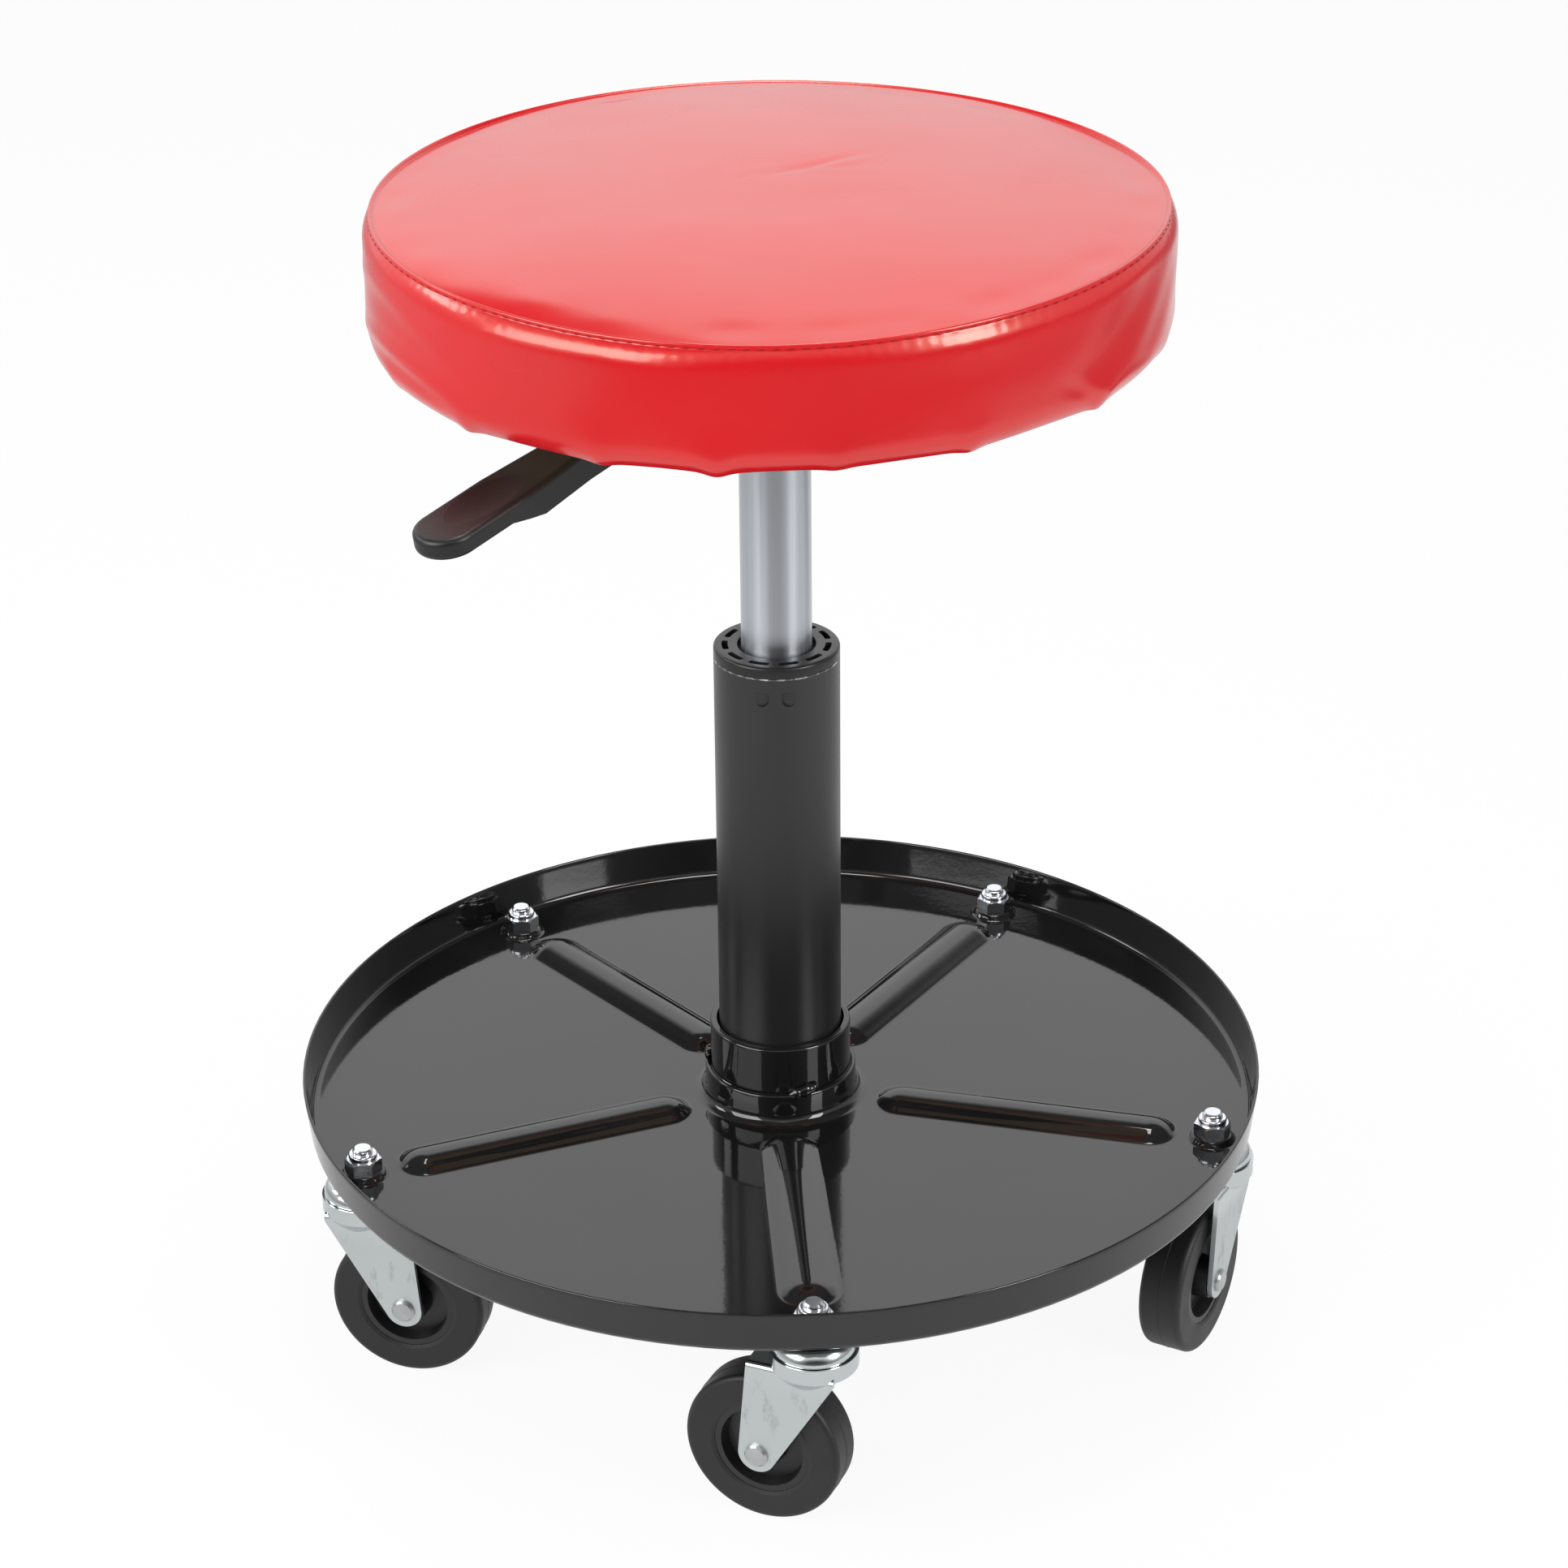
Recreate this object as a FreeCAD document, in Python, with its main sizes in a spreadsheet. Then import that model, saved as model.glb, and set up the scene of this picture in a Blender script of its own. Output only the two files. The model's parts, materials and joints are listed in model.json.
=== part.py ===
import FreeCAD, Part
import math
import os
import re

import Sketcher

# Pneumatic roller seat: round padded seat on a gas lift, standing on a stamped tool tray with five swivel casters.
# Millimetres; the origin lies on the floor under the column, +Z is up, and the front caster sits on -Y.

# Driving sizes: name, value, what it measures
SIZES = [
    ("fit_gap", 0.05, "clearance of pieces fitted into each other"),
    ("sheet_steel", 1.2, "sheet of the tray"),
    ("tray_rim_radius", 196.6, "outside of the tray's rim"),
    ("tray_wall_radius", 195.0, "outside of the tray's wall at its foot"),
    ("tray_rim_z", 102.7, "top of the rim"),
    ("tray_floor_z", 85.4, "upper face of the tray's floor"),
    ("tray_corner", 2.2, "inside bend between floor and wall"),
    ("rim_hem", 3.4, "depth of the folded hem"),
    ("hem_round", 1.0, "rounding of the hem's top"),
    ("flange_top_z", 96.4, "top of the drawn flange around the hub"),
    ("flange_bend", 5.0, "bend at the foot of that flange"),
    ("rib_start", 41.0, "inner end of a pressed rib"),
    ("rib_end", 165.0, "outer end of a pressed rib"),
    ("rib_width", 22.0, "width of a pressed rib"),
    ("rib_rise", 4.6, "height of a pressed rib"),
    ("rib_foot", 3.0, "rounding at the foot of a rib"),
    ("caster_count", 5, "casters around the tray"),
    ("bolt_circle_radius", 180.0, "caster studs from the column"),
    ("pad_diameter", 17.4, "pressed pad under a caster nut"),
    ("pad_rise", 2.2, "height of that pad"),
    ("pad_round", 0.7, "rounding of that pad"),
    ("stud_diameter", 8.0, "caster stud"),
    ("stud_top_z", 97.8, "end of the stud"),
    ("hub_diameter", 57.6, "socket that holds the column"),
    ("hub_bottom_z", 60.0, "lower end of the socket"),
    ("hub_top_z", 118.8, "upper end of the socket"),
    ("hub_round", 1.2, "rounding of the socket's lip"),
    ("weld_leg", 1.9, "fillet weld between socket and tray"),
    ("tube_diameter", 50.0, "outer column"),
    ("tube_wall", 2.0, "wall of the outer column"),
    ("tube_bottom_z", 57.0, "lower end of the column"),
    ("tube_top_z", 282.3, "upper end of the column"),
    ("taper_top_z", 116.0, "where the column's taper starts"),
    ("taper_foot_diameter", 47.6, "column at its lower end"),
    ("dimple_width", 5.2, "crimp that holds the guide bush"),
    ("dimple_height", 6.0, "height of a crimp"),
    ("dimple_z", 270.5, "lower end of a crimp"),
    ("dimple_spread", 10.6, "distance between the two crimps of a pair"),
    ("dimple_depth", 1.0, "depth of a crimp"),
    ("dimple_turn", -5.1, "turn of the crimps from the front"),
    ("bush_top_z", 287.0, "top of the guide bush"),
    ("bush_bottom_z", 202.0, "lower end of the guide bush"),
    ("bush_mouth_diameter", 31.0, "opening around the gas cylinder"),
    ("bush_mouth_depth", 4.0, "depth of that opening"),
    ("bush_round", 1.6, "rounding of the bush's flange"),
    ("bush_slots", 12, "slots in the top of the bush"),
    ("bush_slot_radius", 20.6, "slots from the axis"),
    ("bush_slot_width", 1.7, "width of a slot"),
    ("bush_slot_angle", 17.0, "length of a slot, in degrees"),
    ("bush_slot_depth", 2.6, "depth of a slot"),
    ("race_z", 60.0, "seat of the lower bearing race"),
    ("race_thickness", 2.0, "bearing race"),
    ("race_radius", 13.0, "outside of a bearing race"),
    ("bearing_ball", 4.76, "ball of the thrust bearing"),
    ("bearing_balls", 8, "balls in the thrust bearing"),
    ("bearing_ball_radius", 9.2, "balls from the axis"),
    ("rod_diameter", 10.0, "piston rod"),
    ("rod_end_diameter", 8.0, "turned ends of the piston rod"),
    ("rod_bottom_z", 50.5, "lower end of the piston rod"),
    ("rod_shoulder_z", 68.92, "shoulder on the bearing"),
    ("clip_z", 55.2, "retaining clip under the column"),
    ("clip_thickness", 1.6, "retaining clip"),
    ("clip_radius", 9.0, "outside of the retaining clip"),
    ("bump_radius", 12.0, "bump stop"),
    ("bump_top_z", 104.0, "top of the bump stop"),
    ("piston_z", 244.0, "lower face of the piston"),
    ("piston_length", 16.0, "length of the piston"),
    ("seal_width", 2.8, "piston seal"),
    ("cylinder_diameter", 28.0, "gas cylinder"),
    ("cylinder_wall", 1.5, "wall of the gas cylinder"),
    ("cylinder_bottom_z", 190.0, "lower end of the gas cylinder"),
    ("cylinder_top_z", 403.0, "upper end of the gas cylinder"),
    ("cylinder_tip_diameter", 26.9, "tapered upper end"),
    ("guide_length", 13.5, "rod guide in the cylinder's mouth"),
    ("rod_seal_length", 4.0, "seal above the rod guide"),
    ("valve_length", 14.0, "valve block"),
    ("valve_pin_diameter", 6.0, "release pin"),
    ("valve_pin_length", 24.0, "release pin"),
    ("pin_gap", 0.2, "play between release pin and lever"),
    ("socket_diameter", 40.0, "socket under the seat plate"),
    ("socket_bottom_z", 376.0, "lower end of that socket"),
    ("socket_slot", 14.0, "slot for the lever's finger"),
    ("socket_slot_z", 405.0, "foot of that slot"),
    ("plate_side", 132.0, "seat plate"),
    ("plate_corner", 12.0, "corner of the seat plate"),
    ("plate_thickness", 2.5, "seat plate"),
    ("plate_top_z", 422.0, "upper face of the seat plate"),
    ("seat_bolt_pitch", 104.0, "spacing of the seat bolts"),
    ("seat_bolt_diameter", 6.0, "seat bolt"),
    ("seat_bolt_flats", 10.0, "head of a seat bolt"),
    ("seat_bolt_head", 4.0, "head of a seat bolt"),
    ("seat_bolt_length", 12.5, "seat bolt under its head"),
    ("washer_diameter", 14.0, "washer of a seat bolt"),
    ("washer_thickness", 1.2, "washer of a seat bolt"),
    ("tee_flange", 19.0, "flange of a tee nut"),
    ("tee_flange_thickness", 1.2, "flange of a tee nut"),
    ("tee_barrel", 8.0, "barrel of a tee nut"),
    ("board_radius", 143.0, "plywood seat board"),
    ("board_thickness", 10.0, "plywood seat board"),
    ("cover_thickness", 1.2, "seat cover"),
    ("seat_bottom_z", 420.8, "underside of the seat cover"),
    ("seat_hem_radius", 151.0, "seat at its lower edge"),
    ("seat_hem_round", 2.6, "rounding of the lower edge"),
    ("seat_tuck_radius", 128.0, "inner edge of the tucked-in cover"),
    ("seat_seam_radius", 150.5, "sewn seam"),
    ("seat_seam_z", 464.0, "sewn seam"),
    ("seat_crown_z", 477.0, "middle of the seat"),
    ("seat_top_radius", 135.0, "where the crown meets the shoulder"),
    ("seat_top_z", 475.2, "height of the seat there"),
    ("seat_shoulder", 17.2, "radius of the shoulder above the seam"),
    ("seat_side_bow", 78.0, "radius of the bowed side band"),
    ("lever_azimuth", -135.0, "direction of the lever"),
    ("lever_droop", 10.4, "slope of the lever"),
    ("pivot_radius", 27.0, "lever pivot from the axis"),
    ("pivot_z", 413.2, "lever pivot"),
    ("pivot_pin_diameter", 6.0, "lever pivot pin"),
    ("pivot_pin_length", 22.0, "lever pivot pin"),
    ("eye_diameter", 12.0, "eye of the lever"),
    ("bar_thickness", 6.0, "lever bar"),
    ("bar_width", 12.0, "lever bar"),
    ("bar_bend", 9.0, "bend of the lever bar from the pivot"),
    ("bar_length", 62.0, "lever bar from the bend"),
    ("ear_gap", 14.6, "between the lever's ears"),
    ("ear_thickness", 3.0, "an ear"),
    ("ear_width", 16.0, "an ear"),
    ("ear_height", 15.0, "an ear below the plate"),
    ("grip_start", 16.0, "inner end of the grip from the bend"),
    ("grip_end", 153.5, "tip of the grip from the bend"),
    ("grip_width", 24.5, "paddle of the grip"),
    ("neck_width", 19.0, "neck of the grip"),
    ("neck_end", 104.0, "where the neck starts to thin below"),
    ("ramp_end", 117.0, "where the neck has thinned to the paddle"),
    ("flare_start", 78.0, "where the neck widens"),
    ("flare_end", 112.0, "where the paddle has its full width"),
    ("grip_top", 5.4, "top of the grip above the bar's middle"),
    ("neck_bottom", 6.5, "neck below the bar's middle"),
    ("paddle_bottom", 2.7, "paddle below the bar's middle"),
    ("grip_round", 2.2, "rounding of the grip"),
    ("dish_start", 95.0, "inner end of the thumb dish"),
    ("dish_end", 148.0, "outer end of the thumb dish"),
    ("dish_depth", 0.9, "depth of the thumb dish"),
    ("dish_round", 48.0, "radius across the thumb dish"),
    ("wheel_radius", 31.75, "caster wheel"),
    ("wheel_width", 18.0, "caster tyre"),
    ("tyre_round", 2.6, "shoulder of the tyre"),
    ("tyre_inner_radius", 19.6, "border of tyre and hub"),
    ("hub_rim_width", 16.4, "rim of the wheel hub"),
    ("hub_rim_depth", 2.6, "rim of the wheel hub"),
    ("hub_web", 6.0, "web of the wheel hub"),
    ("hub_boss_radius", 8.0, "boss of the wheel hub"),
    ("hub_boss_length", 21.8, "boss of the wheel hub"),
    ("sleeve_diameter", 8.0, "axle sleeve"),
    ("sleeve_length", 22.4, "axle sleeve"),
    ("axle_diameter", 6.0, "axle rivet"),
    ("rivet_head_diameter", 9.4, "head of the axle rivet"),
    ("rivet_head", 1.6, "head of the axle rivet"),
    ("trail", 18.3, "axle behind the swivel"),
    ("fork_sheet", 2.0, "sheet of the fork"),
    ("fork_gap", 22.6, "between the fork's legs"),
    ("fork_top_z", 73.0, "top of the fork"),
    ("fork_foot", 7.6, "rounded foot of a leg"),
    ("fork_rear", 4.0, "rear edge behind the axle"),
    ("fork_front", 13.0, "front edge before the swivel"),
    ("fork_front_z", 69.6, "where the front edge starts to slope"),
    ("fork_bend", 2.6, "bend between the fork's top and its legs"),
    ("race_skirt_diameter", 34.4, "raceway of the fork"),
    ("race_skirt_top_z", 77.7, "top of the raceway"),
    ("race_skirt_fold_z", 71.2, "where the raceway starts to draw in"),
    ("race_skirt_bottom_z", 66.4, "where it has run into the legs"),
    ("race_cap_diameter", 32.5, "fixed race above the fork"),
    ("race_cap_z", 78.0, "underside of the fixed race"),
    ("race_cap_edge", 1.6, "edge of the fixed race"),
    ("race_cap_dome", 5.6, "rounding of its domed top"),
    ("race_cap_top_diameter", 22.0, "flat of the fixed race under the tray"),
    ("swivel_ball", 4.9, "ball under the fixed race"),
    ("swivel_balls", 12, "balls in each caster"),
    ("swivel_ball_radius", 12.2, "balls from the swivel"),
    ("kingpin_head_diameter", 15.0, "riveted head below the fork"),
    ("kingpin_bottom_z", 66.0, "lower end of that head"),
    ("kingpin_head_z", 70.8, "upper face of that head"),
    ("nut_flats", 13.0, "nut on a caster stud"),
    ("nut_hex", 5.6, "hexagon of that nut"),
    ("nut_height", 8.0, "whole nut with its collar"),
    ("nut_collar_diameter", 11.6, "collar of that nut"),
]

# Direction in which each caster trails, in degrees, front caster first and then counter-clockwise
TRAIL_ANGLES = [153.0, 237.5, 20.0, 305.0, -17.9]

doc = FreeCAD.newDocument("RollerSeat")
sheet = doc.addObject("Spreadsheet::Sheet", "Sizes")
for row, (alias, value, note) in enumerate(SIZES, start=1):
    sheet.set(f"A{row}", note)
    sheet.set(f"B{row}", str(value))
    sheet.setAlias(f"B{row}", alias)
doc.recompute()
ALIASES = {alias for alias, value, note in SIZES}
nodes = []


# Sizes and expressions
def ex(text):
    """Turns size names into references to the sheet's cells."""
    return re.sub(r"[a-z][a-z_]+", lambda m: f"Sizes.{m[0]}" if m[0] in ALIASES else m[0], text)


def size(text):
    """The value of an expression in the sheet's sizes."""
    found = sheet.evalExpression(ex(text))
    return float(getattr(found, "Value", found))


# Bodies, sketches and features
def new_body(label):
    body = doc.addObject("PartDesign::Body", label)
    body.Label = label
    return body


def origin_part(body, role):
    return next(f for f in body.Origin.OriginFeatures if f.Role == role)


def new_sketch(body, role, lift=None):
    """A sketch on one of the body's own planes, lifted along the plane's normal."""
    sketch = body.newObject("Sketcher::SketchObject", f"{body.Name}_sketch")
    sketch.AttachmentSupport = [(origin_part(body, role), "")]
    sketch.MapMode = "FlatFace"
    if lift:
        sketch.setExpression("AttachmentOffset.Base.z", ex(lift))
    return sketch


def bind(sketch, constraint, text):
    number = sketch.addConstraint(constraint)
    sketch.setExpression(f"Constraints[{number}]", text)


def hold_one(sketch, geo, end, kind, text):
    """Fixes one coordinate of a point of the sketch at an expression."""
    value = size(text)
    if abs(value) < 1e-9:
        axis = -2 if kind == "DistanceX" else -1
        sketch.addConstraint(Sketcher.Constraint("PointOnObject", geo, end, axis))
    elif value > 0:
        bind(sketch, Sketcher.Constraint(kind, -1, 1, geo, end, value), ex(text))
    else:
        bind(sketch, Sketcher.Constraint(kind, geo, end, -1, 1, -value), f"-({ex(text)})")


def hold(sketch, geo, end, x, y):
    """Fixes a point of the sketch at two expressions."""
    hold_one(sketch, geo, end, "DistanceX", x)
    hold_one(sketch, geo, end, "DistanceY", y)


def hold_arc(sketch, geo, point, chord):
    """Fixes an arc between two held ends: a half circle by its centre, any other by its radius."""
    radius = point[2].lstrip("-")
    if abs(chord.Length - 2 * size(radius)) > 1e-6:
        bind(sketch, Sketcher.Constraint("Radius", geo, size(radius)), ex(radius))
    elif abs(chord.x) < 1e-9:
        hold_one(sketch, geo, 3, "DistanceX", point[0])
    else:
        hold_one(sketch, geo, 3, "DistanceY", point[1])


def arc_through(start, finish, radius, turn):
    """The smaller arc between two points; turn is 1 for counter-clockwise and -1 for clockwise."""
    chord = finish - start
    left = FreeCAD.Vector(-chord.y, chord.x, 0).normalize()
    height = math.sqrt(max(radius**2 - chord.Length**2 / 4, 0))
    centre = (start + finish) / 2 + left * height * turn
    first, last = (start, finish) if turn > 0 else (finish, start)
    angles = [math.atan2(p.y - centre.y, p.x - centre.x) for p in (first, last)]
    circle = Part.Circle(centre, FreeCAD.Vector(0, 0, 1), radius)
    return Part.ArcOfCircle(circle, angles[0], angles[1])


def outline(sketch, points):
    """Closed outline; a point's third value is the radius of the arc to the next point, minus for clockwise."""
    places = [FreeCAD.Vector(size(p[0]), size(p[1]), 0) for p in points]
    pieces = []
    for i, point in enumerate(points):
        start, finish = places[i], places[(i + 1) % len(points)]
        if len(point) == 2:
            geo = sketch.addGeometry(Part.LineSegment(start, finish), False)
            pieces.append((geo, 1, 2))
            continue
        turn = -1 if point[2].startswith("-") else 1
        radius = point[2].lstrip("-")
        geo = sketch.addGeometry(arc_through(start, finish, size(radius), turn), False)
        pieces.append((geo, 1, 2) if turn > 0 else (geo, 2, 1))
    for i, (geo, start, finish) in enumerate(pieces):
        after = pieces[(i + 1) % len(pieces)]
        sketch.addConstraint(Sketcher.Constraint("Coincident", geo, finish, after[0], after[1]))
        hold(sketch, geo, start, points[i][0], points[i][1])
        if len(points[i]) == 3:
            hold_arc(sketch, geo, points[i], places[(i + 1) % len(points)] - places[i])


def circle(sketch, x, y, radius):
    centre = FreeCAD.Vector(size(x), size(y), 0)
    geo = sketch.addGeometry(Part.Circle(centre, FreeCAD.Vector(0, 0, 1), size(radius)), False)
    hold(sketch, geo, 3, x, y)
    bind(sketch, Sketcher.Constraint("Radius", geo, size(radius)), ex(radius))


def turn_feature(body, kind, sketch, axis="V_Axis", angle=None):
    feature = body.newObject(f"PartDesign::{kind}", f"{body.Name}_{kind.lower()}")
    feature.Profile = (sketch, [""])
    feature.ReferenceAxis = (sketch, [axis])
    feature.Angle = 360
    if angle:
        feature.Midplane = True
        feature.setExpression("Angle", ex(angle))
    return feature


def push_feature(body, kind, sketch, length, symmetric=False, reverse=False):
    feature = body.newObject(f"PartDesign::{kind}", f"{body.Name}_{kind.lower()}")
    feature.Profile = (sketch, [""])
    feature.setExpression("Length", ex(length))
    feature.SideType = "Symmetric" if symmetric else "One side"
    feature.Reversed = reverse
    return feature


def pattern(body, features, count):
    feature = body.newObject("PartDesign::PolarPattern", f"{body.Name}_pattern")
    feature.Originals = features
    feature.Axis = (origin_part(body, "Z_Axis"), [""])
    feature.Angle = 360
    feature.setExpression("Occurrences", ex(count))
    body.Tip = feature
    return feature


def round_edges(body, radius, wanted):
    doc.recompute()
    tip = body.Tip
    names = [f"Edge{i}" for i, edge in enumerate(tip.Shape.Edges, start=1) if wanted(edge)]
    feature = body.newObject("PartDesign::Fillet", f"{body.Name}_fillet")
    feature.Base = (tip, names)
    feature.setExpression("Radius", ex(radius))
    return feature


def ring_edge(z, radius):
    """Picks the circular edges at a height and radius."""
    def wanted(edge):
        curve = edge.Curve
        return (
            isinstance(curve, Part.Circle)
            and abs(curve.Center.z - size(z)) < 1e-3
            and abs(curve.Radius - size(radius)) < 1e-3
        )

    return wanted


def revolved(label, points):
    """A turned piece: points are radius and height."""
    body = new_body(label)
    sketch = new_sketch(body, "XZ_Plane")
    outline(sketch, points)
    turn_feature(body, "Revolution", sketch)
    return body


def ring(label, inner, outer, low, high):
    return revolved(label, [(inner, low), (outer, low), (outer, high), (inner, high)])


# Placed copies
def at(x=0.0, y=0.0, z=0.0, axis=(0, 0, 1), degrees=0.0):
    return FreeCAD.Placement(
        FreeCAD.Vector(x, y, z), FreeCAD.Rotation(FreeCAD.Vector(*axis), degrees)
    )


def keep(part):
    """Marks a piece as one of the object's nodes."""
    nodes.append(part)
    return part


def copy_of(label, master, place):
    part = doc.addObject("Part::Feature", label)
    part.Label = label
    part.Shape = master.Shape.copy()
    part.Placement = place
    return keep(part)


def group_of(label, master, places):
    """Identical pieces as one node of separate solids."""
    part = doc.addObject("Part::Feature", label)
    part.Label = label
    shapes = []
    for place in places:
        shape = master.Shape.copy()
        shape.Placement = place
        shapes.append(shape)
    part.Shape = Part.makeCompound(shapes)
    return keep(part)


def ball(label, diameter):
    part = doc.addObject("Part::Sphere", label)
    part.setExpression("Radius", ex(f"{diameter} / 2"))
    return part


def around_places(count, radius, z, first=0.0):
    places = []
    for k in range(int(size(count))):
        angle = math.radians(first + 360 * k / size(count))
        places.append(at(radius * math.cos(angle), radius * math.sin(angle), z))
    return places


def rib_foot_edge(edge):
    """Picks the edges between the tray's floor and a pressed rib."""
    box = edge.BoundBox
    level = abs(box.ZMin - size("tray_floor_z")) < 1e-3 and abs(box.ZMax - size("tray_floor_z")) < 1e-3
    middle = math.hypot(box.Center.x, box.Center.y)
    return level and size("rib_start") - 1 < middle < size("rib_end") + 1


# Tool tray: a drawn dish with a flange around the hub, pressed ribs, pads for the nuts and a hemmed rim
def tool_tray():
    hub = "(hub_diameter / 2 + fit_gap)"
    wall = "(tray_wall_radius - sheet_steel)"
    under = "(tray_floor_z - sheet_steel)"
    bend = f"({hub} + sheet_steel + flange_bend)"
    tray = revolved("tool_tray", [
        (hub, "flange_top_z"),
        (f"{hub} + sheet_steel", "flange_top_z"),
        (f"{hub} + sheet_steel", "tray_floor_z + flange_bend", "flange_bend"),
        (bend, "tray_floor_z"),
        (f"{wall} - tray_corner", "tray_floor_z", "tray_corner"),
        (wall, "tray_floor_z + tray_corner"),
        ("tray_rim_radius - sheet_steel", "tray_rim_z - rim_hem"),
        ("tray_rim_radius - 2 * sheet_steel", "tray_rim_z - rim_hem"),
        ("tray_rim_radius - 2 * sheet_steel", "tray_rim_z"),
        ("tray_rim_radius", "tray_rim_z"),
        ("tray_wall_radius", "tray_floor_z + tray_corner", "-(tray_corner + sheet_steel)"),
        (f"{wall} - tray_corner", under),
        (bend, under, "-(flange_bend + sheet_steel)"),
        (hub, "tray_floor_z + flange_bend"),
    ])
    round_edges(tray, "hem_round", ring_edge("tray_rim_z", "tray_rim_radius"))
    round_edges(tray, "hem_round", ring_edge("tray_rim_z", "tray_rim_radius - 2 * sheet_steel"))

    # a rib is the top of a lying round bar with ball ends, pressed up through the floor
    bar = "((rib_width ^ 2 / 4 + rib_rise ^ 2) / (2 * rib_rise))"
    hollow = f"({bar} - sheet_steel)"
    axis_z = f"(tray_floor_z + rib_rise - {bar})"
    near = "(rib_start + rib_width / 2)"
    far = "(rib_end - rib_width / 2)"
    sine = f"(rib_width / 2 / {bar})"
    cosine = f"(({bar} - rib_rise) / {bar})"
    opened = new_sketch(tray, "YZ_Plane")
    outline(opened, [
        (f"-({near} - {hollow})", axis_z, hollow),
        (f"-{near}", f"{axis_z} + {hollow}"),
        (f"-{far}", f"{axis_z} + {hollow}", hollow),
        (f"-({far} + {hollow})", axis_z),
    ])
    skin = new_sketch(tray, "YZ_Plane")
    outline(skin, [
        ("-rib_start", "tray_floor_z", bar),
        (f"-{near}", f"{axis_z} + {bar}"),
        (f"-{far}", f"{axis_z} + {bar}", bar),
        ("-rib_end", "tray_floor_z"),
        (f"-({far} + {hollow} * {sine})", f"{axis_z} + {hollow} * {cosine}", f"-{hollow}"),
        (f"-{far}", f"{axis_z} + {hollow}"),
        (f"-{near}", f"{axis_z} + {hollow}", f"-{hollow}"),
        (f"-({near} - {hollow} * {sine})", f"{axis_z} + {hollow} * {cosine}"),
    ])
    for sketch in (opened, skin):
        ends = [FreeCAD.Vector(-size(r), size(axis_z), 0) for r in ("rib_start", "rib_end")]
        geo = sketch.addGeometry(Part.LineSegment(*ends), True)
        hold(sketch, geo, 1, "-rib_start", axis_z)
        hold(sketch, geo, 2, "-rib_end", axis_z)
    cut = turn_feature(tray, "Groove", opened, "Axis0")
    half_angle = f"acos({cosine})"
    rib = turn_feature(tray, "Revolution", skin, "Axis0", f"2 * {half_angle}")
    pattern(tray, [cut, rib], "caster_count")
    flat = new_sketch(tray, "XZ_Plane")
    outline(flat, [
        (bend, under),
        (f"{wall} - tray_corner", under),
        (f"{wall} - tray_corner", f"{under} - rib_width"),
        (bend, f"{under} - rib_width"),
    ])
    turn_feature(tray, "Groove", flat)
    round_edges(tray, "rib_foot", rib_foot_edge)

    # pads with their stud holes
    pad = new_sketch(tray, "XY_Plane", "tray_floor_z - sheet_steel / 2")
    circle(pad, "0", "-bolt_circle_radius", "pad_diameter / 2")
    raised = push_feature(tray, "Pad", pad, "pad_rise + sheet_steel / 2")
    below = new_sketch(tray, "XY_Plane", under)
    circle(below, "0", "-bolt_circle_radius", "pad_diameter / 2 - sheet_steel")
    recess = push_feature(tray, "Pocket", below, "pad_rise", reverse=True)
    hole = new_sketch(tray, "XY_Plane", under)
    circle(hole, "0", "-bolt_circle_radius", "stud_diameter / 2 + 4 * fit_gap")
    drilled = push_feature(tray, "Pocket", hole, "pad_rise + 2 * sheet_steel", reverse=True)
    pattern(tray, [raised, recess, drilled], "caster_count")
    for level in ("tray_floor_z", "tray_floor_z + pad_rise"):
        round_edges(tray, "pad_round", ring_edge(level, "pad_diameter / 2"))
    return tray


def taper_radius(z):
    """Radius of the column's tapered foot at a height."""
    slope = "(tube_diameter - taper_foot_diameter) / 2 / (taper_top_z - tube_bottom_z)"
    return f"(tube_diameter / 2 - (taper_top_z - {z}) * {slope})"


def hub_socket():
    hub = revolved("hub_socket", [
        (f"{taper_radius('hub_bottom_z')} + fit_gap", "hub_bottom_z"),
        ("hub_diameter / 2", "hub_bottom_z"),
        ("hub_diameter / 2", "flange_top_z"),
        ("hub_diameter / 2 + weld_leg", "flange_top_z"),
        ("hub_diameter / 2", "flange_top_z + weld_leg"),
        ("hub_diameter / 2", "hub_top_z"),
        ("tube_diameter / 2 + hub_round", "hub_top_z"),
        ("tube_diameter / 2 + fit_gap", "taper_top_z"),
    ])
    round_edges(hub, "hub_round", ring_edge("hub_top_z", "hub_diameter / 2"))
    return hub


def column_tube():
    inner = "(tube_diameter / 2 - tube_wall)"
    foot = "taper_foot_diameter / 2"
    tube = revolved("column_tube", [
        ("rod_diameter / 2 + tube_wall", "tube_bottom_z"),
        (foot, "tube_bottom_z"),
        ("tube_diameter / 2", "taper_top_z"),
        ("tube_diameter / 2", "tube_top_z"),
        (inner, "tube_top_z"),
        (inner, "taper_top_z"),
        (f"{foot} - tube_wall", "race_z"),
        ("rod_diameter / 2 + tube_wall", "race_z"),
    ])
    # a pair of crimps at the front and one at the back, with rounded feet
    crimps = new_sketch(tube, "XZ_Plane", "tube_diameter / 2 - dimple_depth - 6 * fit_gap")
    for side in ("-", ""):
        middle = f"({side}dimple_spread / 2)"
        outline(crimps, [
            (f"{middle} - dimple_width / 2", "dimple_z + dimple_width / 2", "dimple_width / 2"),
            (f"{middle} + dimple_width / 2", "dimple_z + dimple_width / 2"),
            (f"{middle} + dimple_width / 2", "dimple_z + dimple_height"),
            (f"{middle} - dimple_width / 2", "dimple_z + dimple_height"),
        ])
    pressed = push_feature(tube, "Pocket", crimps, "4 * dimple_depth", reverse=True)
    pattern(tube, [pressed], "2")
    tube.Placement = at(degrees=size("dimple_turn"))
    return tube


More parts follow.
